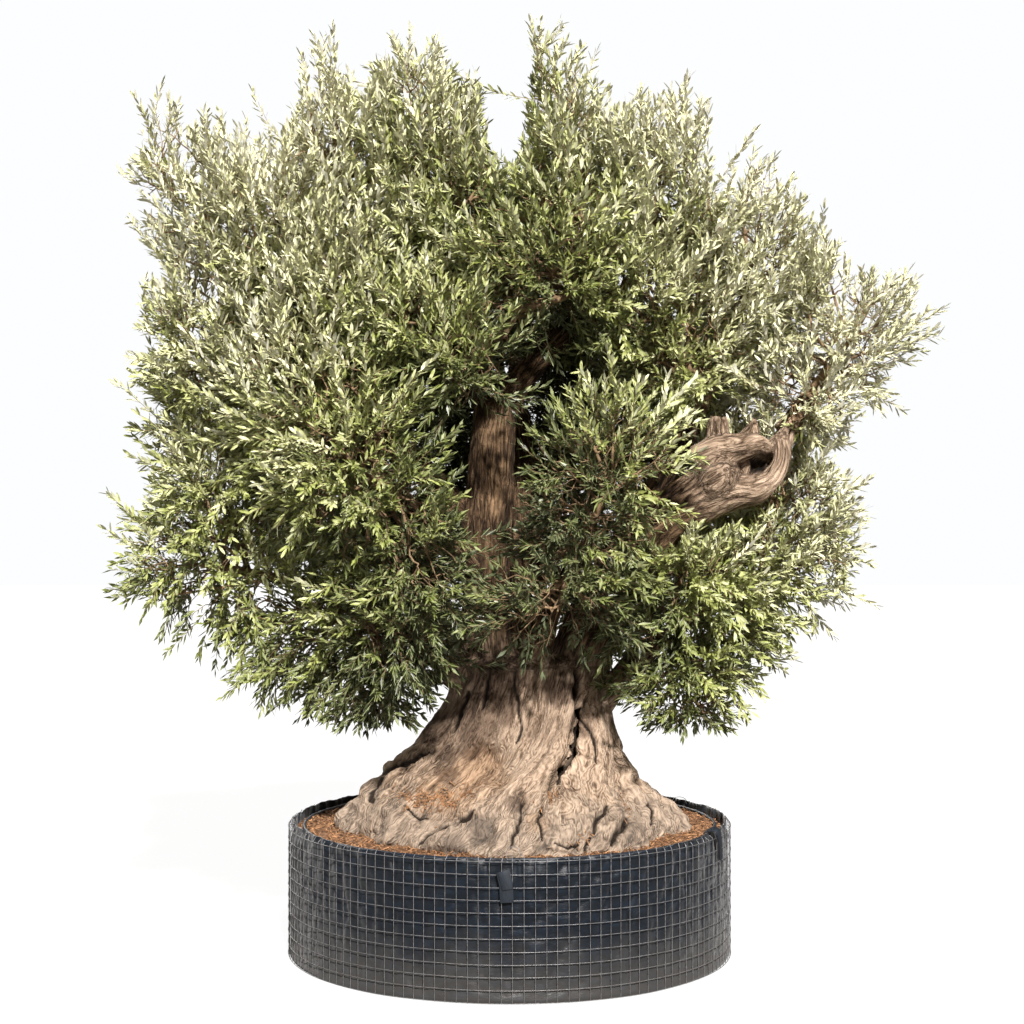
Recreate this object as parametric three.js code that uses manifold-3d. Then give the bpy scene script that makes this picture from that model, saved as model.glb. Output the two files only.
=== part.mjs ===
// An old, pruned olive tree standing in its nursery crate, as separate named solids:
// the trunk, its boughs, the masses of foliage, the soil, the liner, the wire cage and the drip hose.
// Millimetres, +Z up. The origin is the centre of the crate's flat underside, and -Y is the front.
import * as THREE from "three";
import { mergeVertices } from "three/addons/utils/BufferGeometryUtils.js";
import Module from "manifold-3d";

const wasm = await Module();
wasm.setup();

// ---------------------------------------------------------------- driving dimensions
const CLEAR = 0.3; // gap kept between neighbouring solids
const GOLDEN_ANGLE = Math.PI * (3 - Math.sqrt(5));

const CRATE = {
  radius: 1000, height: 590, sides: 32,
  wire: 3, uprights: 16, hoops: 2,
  liner: 5, floor: 6, bevel: 8, // the sheet's thickness, its floor's, and the bevel round its foot
};
const SOIL = { top: 560, edge: 535, shoulder: 70 };
const HOSE = { ring: 928, radius: 8, sides: 4 };
const STRAP = { wide: 55, thick: 4, long: 125, top: 535, angle: -91, lean: -9 };

const TRUNK = {
  height: 740,
  waist: [305, 280], // half width and half depth above the flare
  flare: [395, 480], // what the root flare adds to them at the soil
  flareFade: 0.44, // share of the height over which the flare dies away
  foot: 20, // where the middle of the foot stands
  lean: 80, // how far the top stands to the right of the foot
  sway: { left: 55, at: 0.27, tall: 0.16 }, // a bend to the left on the way up
  dome: 70, // how far the crotch rises above the last ring
  crowd: 1.25, // how much closer the rings stand near the soil
  swirl: 45, // degrees by which the front flutes turn on their way down
  swirlAt: 318,
  swirlWidth: 70,
  hoseRoom: 20, // kept clear inside the drip hose
  columns: 34,
  rows: 7,
};

// Ridges and clefts that run down the trunk: their angle at the top in degrees, width, rise as a share of the
// radius, and the part of the height that they take up.
const FLUTES = [
  { at: 312, width: 13, rise: 0.13, low: -1, high: 2 }, // the pale front ridge
  { at: 326, width: 5, rise: -0.3, low: 0.22, high: 2 }, // the deep cleft beside it
  { at: 344, width: 12, rise: 0.1, low: -1, high: 2 },
  { at: 357, width: 6, rise: -0.09, low: 0.05, high: 0.8 },
  { at: 14, width: 14, rise: 0.08, low: -1, high: 2 },
  { at: 288, width: 6, rise: -0.22, low: 0.72, high: 2 }, // the fissure under the fork
  { at: 262, width: 14, rise: -0.17, low: 0.02, high: 0.6 }, // the hollow saddle
  { at: 236, width: 10, rise: 0.06, low: -1, high: 2 },
  { at: 190, width: 24, rise: 0.07, low: -1, high: 2 }, // the left shoulder
  { at: 150, width: 8, rise: -0.12, low: 0.1, high: 2 },
  { at: 128, width: 13, rise: 0.1, low: -1, high: 2 },
  { at: 98, width: 7, rise: -0.14, low: 0.05, high: 2 },
  { at: 70, width: 14, rise: 0.09, low: -1, high: 2 },
  { at: 42, width: 7, rise: -0.1, low: 0.1, high: 2 },
];

// Knuckles of root round the foot: their angle, height share, spread in degrees and in height, and rise.
const TOES = [
  { at: 252, up: 0.03, spread: 8, tall: 0.09, rise: 55 },
  { at: 268, up: 0.1, spread: 7, tall: 0.1, rise: 40 },
  { at: 286, up: 0.03, spread: 6, tall: 0.1, rise: 60 },
  { at: 300, up: 0.08, spread: 5, tall: 0.1, rise: 65 },
  { at: 312, up: 0.04, spread: 5, tall: 0.08, rise: 50 },
  { at: 348, up: 0.02, spread: 9, tall: 0.08, rise: 60 },
  { at: 226, up: 0.05, spread: 8, tall: 0.1, rise: 45 },
  { at: 190, up: 0.02, spread: 10, tall: 0.08, rise: 40 },
  { at: 150, up: 0.05, spread: 10, tall: 0.1, rise: 45 },
  { at: 112, up: 0.03, spread: 9, tall: 0.1, rise: 55 },
  { at: 75, up: 0.05, spread: 8, tall: 0.1, rise: 50 },
  { at: 30, up: 0.04, spread: 9, tall: 0.1, rise: 50 },
];

// Each bough is one tapering limb on a cubic curve. It leaves its parent where its collar ends.
const BOUGHS = {
  bough_centre: {
    from: "trunk", collar: 0.34, radii: [170, 92],
    path: [[-60, -30, 1000], [-110, -50, 1500], [-100, -80, 2000], [-60, -80, 2460]],
  },
  bough_top_right: {
    from: "bough_centre", collar: 0.3, radii: [84, 50],
    path: [[-70, -80, 2330], [20, -90, 2640], [230, -130, 2760], [430, -120, 2930]],
  },
  bough_top_left: {
    from: "bough_centre", collar: 0.3, radii: [78, 46],
    path: [[-70, -70, 2330], [-120, -40, 2640], [-330, 20, 2800], [-500, 20, 3020]],
  },
  bough_left: {
    from: "bough_centre", collar: 0.3, radii: [72, 44],
    path: [[-90, -60, 1840], [-240, -60, 2080], [-600, -40, 2350], [-900, -20, 2520]],
  },
  bough_left_front: {
    from: "bough_centre", collar: 0.42, radii: [56, 36],
    path: [[-90, -60, 1640], [-200, -180, 1820], [-360, -330, 1960], [-480, -470, 2050]],
  },
  bough_low_left: {
    from: "trunk", collar: 0.42, radii: [95, 46],
    path: [[-110, -60, 1130], [-330, -110, 1360], [-480, -150, 1540], [-680, -170, 1590]],
  },
  bough_right: {
    from: "trunk", collar: 0.3, radii: [165, 100],
    path: [[240, -50, 1000], [350, -90, 1500], [520, -250, 1890], [900, -330, 2110]],
  },
  bough_far_right: {
    from: "bough_right", collar: 0.55, radii: [60, 38],
    path: [[1060, -310, 2180], [1140, -270, 2270], [1240, -200, 2370], [1330, -130, 2480]],
  },
  bough_right_upper: {
    from: "bough_right", collar: 0.4, radii: [74, 48],
    path: [[430, -110, 1640], [600, 0, 1980], [760, 60, 2230], [860, 60, 2440]],
  },
  bough_low_right: {
    from: "trunk", collar: 0.55, radii: [78, 44],
    path: [[250, 0, 980], [520, -20, 1120], [560, -40, 1330], [680, -80, 1400]],
  },
  bough_front: {
    from: "trunk", collar: 0.45, radii: [66, 36],
    path: [[100, -60, 1120], [130, -240, 1400], [200, -400, 1620], [280, -500, 1780]],
  },
  bough_back: {
    from: "trunk", collar: 0.34, radii: [120, 62],
    path: [[90, 120, 1050], [110, 320, 1500], [60, 480, 2000], [40, 560, 2440]],
  },
  bough_back_left: {
    from: "trunk", collar: 0.4, radii: [92, 46],
    path: [[-60, 110, 1080], [-260, 330, 1400], [-460, 540, 1720], [-600, 640, 1980]],
  },
  bough_back_right: {
    from: "trunk", collar: 0.42, radii: [92, 46],
    path: [[210, 110, 1080], [420, 320, 1400], [560, 520, 1720], [680, 620, 1980]],
  },
};

// The broken burl that ends the right bough: its swellings and hollows.
const BURL = {
  swellings: [
    { at: [1010, -335, 2140], size: [185, 165, 150] },
    { at: [1115, -340, 2215], size: [145, 150, 155] },
    { at: [930, -330, 2270], size: [70, 75, 120] },
  ],
  hollows: [
    { at: [1065, -500, 2200], size: [62, 90, 62] },
    { at: [1040, -320, 2420], size: [95, 90, 130] },
  ],
};

// Masses of foliage: the middle and half sizes of the space each keeps to, the bough that feeds it, and how far
// its leaves lift.
const MASSES = {
  crest_far_left: { at: [-1370, 0, 3270], size: [370, 400, 570], on: "bough_left", lift: 1 },
  crest_left: { at: [-800, 40, 3590], size: [350, 400, 590], on: "bough_top_left", lift: 1.1 },
  crest_mid_left: { at: [-330, 0, 3610], size: [320, 420, 580], on: "bough_top_left", lift: 1.1 },
  crest_mid_right: { at: [250, -20, 3640], size: [260, 400, 610], on: "bough_top_right", lift: 1.1 },
  crest_right: { at: [700, -60, 3480], size: [330, 380, 450], on: "bough_top_right", lift: 1 },
  shoulder_right: { at: [1120, 60, 3190], size: [310, 400, 510], on: "bough_right_upper", lift: 1 },
  far_right: { at: [1560, -40, 2780], size: [390, 420, 480], on: "bough_far_right", lift: 0.8 },
  right_middle: { at: [760, -60, 2700], size: [400, 420, 400], on: "bough_right_upper", lift: 0.7 },
  left_upper: { at: [-760, -180, 2930], size: [470, 480, 430], on: "bough_top_left", lift: 0.8 },
  far_left: { at: [-1340, -20, 2430], size: [430, 450, 440], on: "bough_left", lift: 0.6 },
  left_front: { at: [-690, -640, 2200], size: [480, 430, 560], on: "bough_left_front", lift: 0.3 },
  low_far_left: { at: [-1410, -80, 1740], size: [480, 430, 320], on: "bough_low_left", lift: 0.1 },
  low_left: { at: [-820, -170, 1430], size: [500, 450, 380], on: "bough_low_left", lift: -0.2 },
  centre_upper: { at: [130, -360, 3010], size: [420, 400, 420], on: "bough_top_right", lift: 0.6 },
  centre_front: { at: [440, -640, 2140], size: [390, 360, 470], on: "bough_front", lift: 0.2 },
  front_low: { at: [170, -680, 1540], size: [420, 330, 270], on: "bough_front", lift: -0.1 },
  low_far_right: { at: [1250, -60, 1780], size: [450, 430, 390], on: "bough_low_right", lift: 0.5 },
  low_right: { at: [790, -170, 1360], size: [420, 420, 340], on: "bough_low_right", lift: -0.1 },
  crest_back: { at: [-60, 560, 3330], size: [520, 430, 560], on: "bough_back", lift: 1 },
  back_middle: { at: [40, 1010, 2560], size: [480, 460, 560], on: "bough_back", lift: 0.5 },
  back_left: { at: [-850, 780, 2480], size: [520, 500, 620], on: "bough_back_left", lift: 0.6 },
  back_right: { at: [900, 770, 2440], size: [510, 490, 600], on: "bough_back_right", lift: 0.6 },
  back_low_left: { at: [-560, 900, 1620], size: [520, 440, 370], on: "bough_back_left", lift: 0 },
  back_low_right: { at: [560, 900, 1620], size: [520, 440, 370], on: "bough_back_right", lift: 0 },
};

const STEM = { radius: 26, tip: 14, sides: 4, steps: 2 };
const TWIG = {
  count: 4, radius: 27, sides: 3, steps: 2,
  low: 0.5, high: 0.95, // the stretch of the stem that twigs leave
  reaches: [0.58, 0.48, 0.38, 0.28], // how far out of their mass twigs are tried, the longest first
  sag: 0.12,
  clearance: 12,
};
const LEAF = {
  long: 430, short: 170, tried: 20, // the longest, the shortest, and the step between lengths that are tried
  wide: 180, thick: 14, widest: 0.55, root: 6,
  along: [0.22, 0.4, 0.62, 0.78], // where leaves stand on a twig: the last one carries on from it
  spread: 1.3,
  rise: 0.5,
};
const SPACE_MARGIN = 0.07; // kept clear on both sides of the border between two masses

// ---------------------------------------------------------------- materials
const finish = (color, roughness, metalness = 0) =>
  new THREE.MeshStandardMaterial({ color, roughness, metalness, flatShading: true });
const BARK = finish(0xb39a7c, 0.9);
const UPPER_BARK = finish(0x7d6553, 0.9);
const FOLIAGE = finish(0x8a9560, 0.55);
const EARTH = finish(0x9c6a41, 0.95);
const PLASTIC = finish(0x23282d, 0.5);
const WIRE = finish(0x8f8c86, 0.45, 0.8);
const RUBBER = finish(0x1d1f21, 0.6);

// ---------------------------------------------------------------- small helpers
const vector = (point) => new THREE.Vector3(...point);
const smoothstep = (low, high, x) => THREE.MathUtils.smoothstep(x, low, high);
const bump = (x) => Math.exp(-x * x);
const turnsApart = (a, b) => ((((a - b) % 360) + 540) % 360) - 180;

// A small generator of even numbers in 0 to 1, the same ones for the same seed.
function seeded(seed) {
  let state = (seed * 2654435761) % 4294967296;
  return () => {
    state = (state * 1664525 + 1013904223) % 4294967296;
    return state / 4294967296;
  };
}

function solid(geometry) {
  const bare = geometry.clone();
  bare.deleteAttribute("normal");
  bare.deleteAttribute("uv");
  const merged = mergeVertices(bare, 1e-3);
  const triVerts = new Uint32Array(merged.index.array);
  return new wasm.Manifold(
    new wasm.Mesh({ numProp: 3, vertProperties: merged.attributes.position.array, triVerts }),
  );
}

function geometryOf(manifold) {
  const mesh = manifold.getMesh();
  const geometry = new THREE.BufferGeometry();
  geometry.setAttribute("position", new THREE.BufferAttribute(mesh.vertProperties, mesh.numProp));
  geometry.setIndex(new THREE.BufferAttribute(mesh.triVerts, 1));
  geometry.computeVertexNormals();
  return geometry;
}

function joined(solids) {
  return wasm.Manifold.union(solids);
}

// The largest body of a union: a leaf that missed its twig is left out.
function largestBody(manifold) {
  return manifold.decompose().reduce((a, b) => (b.volume() > a.volume() ? b : a));
}

function remap(geometry, place) {
  const position = geometry.attributes.position;
  for (let i = 0; i < position.count; i++) {
    const moved = place(position.getX(i), position.getY(i), position.getZ(i));
    position.setXYZ(i, moved.x, moved.y, moved.z);
  }
  return geometry;
}

// The point of a curve with a frame that turns as little as it can, for t from 0 to 1.
const FRAME_STEPS = 24;
function frameAt(curve, t) {
  const tangent = curve.getTangent(0);
  const across = Math.abs(tangent.z) < 0.9 ? new THREE.Vector3(0, 0, 1) : new THREE.Vector3(1, 0, 0);
  const normal = across.addScaledVector(tangent, -across.dot(tangent)).normalize();
  const steps = Math.ceil(t * FRAME_STEPS);
  for (let i = 1; i <= steps; i++) {
    tangent.copy(curve.getTangent(Math.min(t, i / FRAME_STEPS)));
    normal.addScaledVector(tangent, -normal.dot(tangent)).normalize();
  }
  return { point: curve.getPoint(t), tangent, normal, binormal: tangent.clone().cross(normal) };
}

// A closed tube along a stretch of a curve, whose radius is radiusAt(t).
function taperedTube(curve, radiusAt, sides, steps, from = 0, to = 1) {
  const frames = Array.from({ length: steps + 1 }, (_, i) => frameAt(curve, from + ((to - from) * i) / steps));
  return remap(new THREE.CylinderGeometry(1, 1, 1, sides, steps), (x, y, z) => {
    const i = Math.round((y + 0.5) * steps);
    const { point, normal, binormal } = frames[i];
    const radius = radiusAt(from + ((to - from) * i) / steps);
    return point.clone().addScaledVector(binormal, x * radius).addScaledVector(normal, z * radius);
  });
}

// A closed cone along a curve, from its full radius to a point.
function pointedTube(curve, radius, sides, steps) {
  const frames = Array.from({ length: steps + 1 }, (_, i) => frameAt(curve, i / steps));
  return remap(new THREE.ConeGeometry(radius, 1, sides, steps), (x, y, z) => {
    const { point, normal, binormal } = frames[Math.round((y + 0.5) * steps)];
    return point.clone().addScaledVector(binormal, x).addScaledVector(normal, z);
  });
}

// ---------------------------------------------------------------- crate
// Radii from the outside in: hoops, uprights welded to their inner side, liner and soil.
const WIRE_RADIUS = CRATE.wire / 2;
const HOOP_RING = CRATE.radius - WIRE_RADIUS;
const UPRIGHT_RING = HOOP_RING - 1.2 * WIRE_RADIUS;
const UPRIGHT_HALF = WIRE_RADIUS * Math.sin((2 * Math.PI) / 3); // half of a three-sided wire, across its depth
const LINER_RADIUS = UPRIGHT_RING - UPRIGHT_HALF - CLEAR;
const SOIL_RADIUS = LINER_RADIUS - CRATE.liner - CLEAR;

function makeLiner() {
  const inner = LINER_RADIUS - CRATE.liner;
  return uprightLathe([
    [0, 0], [LINER_RADIUS - CRATE.bevel, 0], [LINER_RADIUS, CRATE.bevel], [LINER_RADIUS, CRATE.height],
    [inner, CRATE.height], [inner, CRATE.floor], [0, CRATE.floor],
  ]);
}

function makeSoil() {
  const base = CRATE.floor + CLEAR;
  const top = SOIL.top - CLEAR;
  return uprightLathe([
    [0, base], [SOIL_RADIUS, base], [SOIL_RADIUS, SOIL.edge], [SOIL_RADIUS - SOIL.shoulder, top], [0, top],
  ]);
}

function uprightLathe(profile) {
  const points = profile.map(([r, z]) => new THREE.Vector2(r, z));
  return new THREE.LatheGeometry(points, CRATE.sides).rotateX(Math.PI / 2);
}

// Hoops outside and upright wires inside them, welded where they cross.
function makeCage() {
  const low = CRATE.wire;
  const high = CRATE.height - 2 * CRATE.wire;
  const hoops = Array.from({ length: CRATE.hoops }, (_, i) => {
    const hoop = new THREE.TorusGeometry(HOOP_RING, WIRE_RADIUS, 3, CRATE.sides);
    return hoop.translate(0, 0, THREE.MathUtils.lerp(low, high, i / (CRATE.hoops - 1)));
  });
  const uprights = Array.from({ length: CRATE.uprights }, (_, i) => {
    const upright = new THREE.CylinderGeometry(WIRE_RADIUS, WIRE_RADIUS, high - low + CRATE.wire, 3);
    upright.rotateX(Math.PI / 2).translate(UPRIGHT_RING, 0, (low + high) / 2);
    return upright.rotateZ((i * 2 * Math.PI) / CRATE.uprights);
  });
  return geometryOf(joined([...hoops, ...uprights].map(solid)));
}

// The drip hose lies in a ring on the slope of the soil, just outside the root knuckles.
function makeHose() {
  const slope = (SOIL.top - CLEAR - SOIL.edge) / SOIL.shoulder;
  const ground = SOIL.top - CLEAR - (HOSE.ring - SOIL_RADIUS + SOIL.shoulder) * slope;
  const ring = new THREE.TorusGeometry(HOSE.ring, HOSE.radius, HOSE.sides, CRATE.sides);
  return ring.translate(0, 0, ground + HOSE.radius + CLEAR);
}

// A strap end tied to the cage, hanging against an upright at its front.
function makeStrap() {
  const seat = UPRIGHT_RING + UPRIGHT_HALF;
  const strap = new THREE.BoxGeometry(STRAP.thick, STRAP.wide, STRAP.long);
  strap.rotateX(THREE.MathUtils.degToRad(STRAP.lean));
  strap.translate(seat + CLEAR + STRAP.thick / 2, 0, STRAP.top - STRAP.long / 2);
  return strap.rotateZ(THREE.MathUtils.degToRad(STRAP.angle));
}

// ---------------------------------------------------------------- trunk
const trunkFlare = (share) => Math.exp(-Math.pow(share / TRUNK.flareFade, 1.5));
const trunkMiddle = (share) =>
  TRUNK.foot + TRUNK.lean * share - TRUNK.sway.left * bump((share - TRUNK.sway.at) / TRUNK.sway.tall);

// The point of the trunk's surface on the flute that starts at an angle at the top, at a share of the height.
function trunkSurface(top, share) {
  const swirl = TRUNK.swirl * bump(turnsApart(top, TRUNK.swirlAt) / TRUNK.swirlWidth);
  const angle = THREE.MathUtils.degToRad(top - swirl * Math.pow(1 - share, 1.2));
  const flare = trunkFlare(share);
  const halfWidth = TRUNK.waist[0] + TRUNK.flare[0] * flare;
  const halfDepth = TRUNK.waist[1] + TRUNK.flare[1] * flare;
  let radius = 1 / Math.hypot(Math.cos(angle) / halfWidth, Math.sin(angle) / halfDepth);
  for (const flute of FLUTES) {
    const fade = smoothstep(flute.low, flute.low + 0.16, share) * (1 - smoothstep(flute.high - 0.16, flute.high, share));
    radius *= 1 + flute.rise * fade * bump(turnsApart(top, flute.at) / flute.width);
  }
  const degrees = THREE.MathUtils.radToDeg(angle);
  for (const toe of TOES) {
    radius += toe.rise * bump(turnsApart(degrees, toe.at) / toe.spread) * bump((share - toe.up) / toe.tall);
  }
  const middle = trunkMiddle(share);
  const reach = Math.min(radius, HOSE.ring - HOSE.radius - TRUNK.hoseRoom - Math.abs(middle));
  return new THREE.Vector3(middle + reach * Math.cos(angle), reach * Math.sin(angle), SOIL.top + TRUNK.height * share);
}

function makeTrunkBody() {
  return remap(new THREE.CylinderGeometry(1, 1, 1, TRUNK.columns, TRUNK.rows), (x, y, z) => {
    const share = Math.pow(y + 0.5, TRUNK.crowd);
    const inMiddle = Math.hypot(x, z) < 0.5;
    if (inMiddle) return new THREE.Vector3(trunkMiddle(share), 0, SOIL.top + (TRUNK.height + TRUNK.dome) * share);
    return trunkSurface(THREE.MathUtils.radToDeg(Math.atan2(-z, x)), share);
  });
}

// ---------------------------------------------------------------- boughs
for (const bough of Object.values(BOUGHS)) {
  bough.curve = new THREE.CubicBezierCurve3(...bough.path.map(vector));
  bough.radiusAt = (t) => THREE.MathUtils.lerp(bough.radii[0], bough.radii[1], Math.sqrt(t));
}

function ellipsoid({ at, size }, detail) {
  return new THREE.IcosahedronGeometry(1, detail).scale(...size).translate(...at);
}

const BOUGH_SIDES = 8;
const BOUGH_STEPS = 3;

function collarOf(bough) {
  return solid(taperedTube(bough.curve, bough.radiusAt, BOUGH_SIDES, 2, 0, bough.collar));
}

function limbOf(bough) {
  const start = bough.collar + CLEAR / bough.curve.getLength();
  return solid(taperedTube(bough.curve, bough.radiusAt, BOUGH_SIDES, BOUGH_STEPS, start, 1));
}

// A limb joined with the collars of the boughs that leave it.
function withCollars(name, body) {
  const leaving = Object.values(BOUGHS).filter((bough) => bough.from === name);
  return joined([body, ...leaving.map(collarOf)]);
}

function withBurl(body) {
  const swollen = joined([body, ...BURL.swellings.map((lump) => solid(ellipsoid(lump, 1)))]);
  return BURL.hollows.reduce((rest, hollow) => rest.subtract(solid(ellipsoid(hollow, 1))), swollen);
}

// ---------------------------------------------------------------- stems of the masses
const tipOf = (bough) => frameAt(bough.curve, 1);

// Stems that share a bough's tip stand in a ring on it, each on the side of its own mass.
function stemRoots(name) {
  const bough = BOUGHS[name];
  const { point, tangent, normal, binormal } = tipOf(bough);
  const fed = Object.values(MASSES).filter((mass) => mass.on === name);
  const ways = new Map(fed.map((mass) => [mass, vector(mass.at).sub(point).normalize()]));
  const mean = new THREE.Vector3();
  ways.forEach((way) => mean.addScaledVector(way, 1 / fed.length));
  const side = (mass) => {
    const away = ways.get(mass).clone().sub(mean);
    return Math.atan2(away.dot(binormal), away.dot(normal));
  };
  fed.sort((a, b) => side(a) - side(b));
  const thick = Math.min(STEM.radius, bough.radii[1] / (fed.length > 1 ? 2.3 : 1.3));
  const out = fed.length > 1 ? bough.radii[1] - thick - 1 : 0;
  fed.forEach((mass, i) => {
    const angle = fed.length > 1 ? side(fed[0]) + (i * 2 * Math.PI) / fed.length : 0;
    mass.stemRadius = thick;
    mass.root = point.clone().addScaledVector(tangent, CLEAR);
    mass.root.addScaledVector(normal, out * Math.cos(angle)).addScaledVector(binormal, out * Math.sin(angle));
    mass.direction = tangent.clone();
  });
}

Object.keys(BOUGHS).forEach(stemRoots);
for (const mass of Object.values(MASSES)) {
  mass.heart = vector(mass.at);
  const reach = mass.root.distanceTo(mass.heart);
  const turn = mass.root.clone().addScaledVector(mass.direction, 0.35 * reach);
  mass.stem = new THREE.QuadraticBezierCurve3(mass.root, turn, mass.heart);
}

// ---------------------------------------------------------------- the space round each mass
const within = (mass, point) => {
  const [x, y, z] = mass.size;
  return Math.hypot((point.x - mass.at[0]) / x, (point.y - mass.at[1]) / y, (point.z - mass.at[2]) / z);
};

function inOwnSpace(mass, point) {
  const own = within(mass, point);
  return own < 1.02 && Object.values(MASSES).every((other) => other === mass || own + SPACE_MARGIN < within(other, point));
}

// Limbs and stems as chains of balls that twigs and leaves keep clear of.
const OBSTACLES = [];
function addObstacles(curve, radiusAt, owner, from = 0) {
  const steps = Math.ceil(curve.getLength() / 25);
  for (let i = 0; i <= steps; i++) {
    const t = from + ((1 - from) * i) / steps;
    OBSTACLES.push({ point: curve.getPoint(t), radius: radiusAt(t), owner });
  }
}
for (const [name, bough] of Object.entries(BOUGHS)) addObstacles(bough.curve, bough.radiusAt, name);
for (const [name, mass] of Object.entries(MASSES)) {
  addObstacles(mass.stem, (t) => THREE.MathUtils.lerp(mass.stemRadius, STEM.tip, t), name);
}
for (const lump of BURL.swellings) {
  OBSTACLES.push({ point: vector(lump.at), radius: Math.max(...lump.size), owner: "burl" });
}
for (let z = SOIL.top; z < SOIL.top + TRUNK.height + TRUNK.dome; z += 50) {
  const share = Math.min(1, (z - SOIL.top) / TRUNK.height);
  const girth = TRUNK.waist[0] + TRUNK.flare[0] * trunkFlare(share);
  OBSTACLES.push({ point: new THREE.Vector3(trunkMiddle(share), 0, z), radius: girth, owner: "trunk" });
}

function touchesLimb(owner, point, radius) {
  return OBSTACLES.some(
    (limb) => limb.owner !== owner && limb.point.distanceTo(point) < limb.radius + radius + TWIG.clearance,
  );
}

// ---------------------------------------------------------------- foliage
// A leaf is a flat spindle of eight faces that starts inside its twig.
function leafGeometry(base, direction, face, length) {
  const across = face.clone().cross(direction).normalize();
  const up = direction.clone().cross(across);
  return remap(new THREE.OctahedronGeometry(1, 0), (x, y, z) => {
    const along = (x === 0 ? LEAF.widest : (x + 1) / 2) * (length + LEAF.root) - LEAF.root;
    return base.clone().addScaledVector(direction, along)
      .addScaledVector(across, (y * LEAF.wide) / 2).addScaledVector(up, (z * LEAF.thick) / 2);
  });
}

function leafFits(name, mass, base, direction, length) {
  return [0.25, 0.5, 0.75, 1].every((share) => {
    const point = base.clone().addScaledVector(direction, share * length);
    const half = share < 1 ? LEAF.wide / 2 : 0;
    return inOwnSpace(mass, point) && !touchesLimb(name, point, half);
  });
}

function twigFits(name, mass, twig) {
  return [0.4, 0.6, 0.8, 1].every((t) => {
    const point = twig.getPoint(t);
    return inOwnSpace(mass, point) && !touchesLimb(name, point, TWIG.radius);
  });
}

// Directions spread evenly over a ball in the golden angle, turned by a phase and shifted up by a lift.
function spreadWays(count, phase, lift) {
  return Array.from({ length: count }, (_, k) => {
    const rise = Math.max(-1, 1 - (2 * (k + 0.5 - 0.25 * lift)) / count);
    const girth = Math.sqrt(1 - rise * rise);
    const azimuth = phase + k * GOLDEN_ANGLE;
    return new THREE.Vector3(girth * Math.cos(azimuth), girth * Math.sin(azimuth), rise);
  });
}

const onMass = (mass, way, share) => vector(mass.at).add(way.clone().multiply(vector(mass.size)).multiplyScalar(share));

// Twigs leave the stem towards points inside the mass. One that doesn't fit is tried shorter, then skipped.
function growTwigs(name, mass, random) {
  const twigs = [];
  for (const way of spreadWays(TWIG.count, random() * 2 * Math.PI, mass.lift)) {
    const start = mass.stem.getPoint(TWIG.low + (TWIG.high - TWIG.low) * (0.5 + 0.5 * way.z));
    for (const reach of TWIG.reaches) {
      const end = onMass(mass, way, reach);
      const middle = start.clone().lerp(end, 0.5);
      middle.z -= TWIG.sag * mass.lift * start.distanceTo(end);
      const curve = new THREE.QuadraticBezierCurve3(start, middle, end);
      if (twigFits(name, mass, curve)) {
        twigs.push({ curve, way });
        break;
      }
    }
  }
  return twigs;
}

// The longest leaf that fits at a place, or nothing.
function fittedLeaf(name, mass, base, direction, face) {
  for (let length = LEAF.long; length >= LEAF.short; length -= LEAF.tried) {
    if (leafFits(name, mass, base, direction, length)) return [leafGeometry(base, direction, face, length)];
  }
  return [];
}

// Leaves stand off each twig in turn, and the last carries on from it.
function growLeaves(name, mass, twigs, random) {
  return twigs.flatMap(({ curve, way }) => {
    const spin = random() * 2 * Math.PI;
    return LEAF.along.flatMap((t, i) => {
      const { point, tangent, normal, binormal } = frameAt(curve, t);
      const angle = spin + i * GOLDEN_ANGLE;
      const side = normal.clone().multiplyScalar(Math.cos(angle)).addScaledVector(binormal, Math.sin(angle));
      const direction = tangent.clone().addScaledVector(way, 0.5);
      if (i < LEAF.along.length - 1) direction.addScaledVector(side, LEAF.spread);
      direction.z += LEAF.rise * mass.lift;
      direction.normalize();
      return fittedLeaf(name, mass, point, direction, side.clone().cross(direction));
    });
  });
}

function makeMass(name, seed) {
  const mass = MASSES[name];
  const random = seeded(seed);
  const radiusAt = (t) => THREE.MathUtils.lerp(mass.stemRadius, STEM.tip, t);
  const twigs = growTwigs(name, mass, random);
  const leaves = growLeaves(name, mass, twigs, random);
  const pieces = [taperedTube(mass.stem, radiusAt, STEM.sides, STEM.steps)];
  pieces.push(...twigs.map(({ curve }) => pointedTube(curve, TWIG.radius, TWIG.sides, TWIG.steps)));
  return geometryOf(largestBody(joined([...pieces, ...leaves].map(solid))));
}

// ---------------------------------------------------------------- the tree in its crate
const olive = new THREE.Group();

function add(name, geometry, material) {
  const mesh = new THREE.Mesh(geometry, material);
  mesh.name = name;
  olive.add(mesh);
}

add("liner", makeLiner(), PLASTIC);
add("soil", makeSoil(), EARTH);
add("wire_cage", makeCage(), WIRE);
add("drip_hose", makeHose(), RUBBER);
add("strap_end", makeStrap(), PLASTIC);
add("trunk", geometryOf(withCollars("trunk", solid(makeTrunkBody()))), BARK);
for (const [name, bough] of Object.entries(BOUGHS)) {
  const limb = withCollars(name, limbOf(bough));
  add(name, geometryOf(name === "bough_right" ? withBurl(limb) : limb), UPPER_BARK);
}
Object.keys(MASSES).forEach((name, i) => add(name, makeMass(name, i + 1), FOLIAGE));

export default olive;
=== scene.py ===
"""The looks of an old, pruned olive tree in its nursery crate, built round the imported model.

Tables of sizes are in millimetres, +Z up, with the front towards -Y. Meshes are in metres.
"""

import itertools
import math

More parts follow.
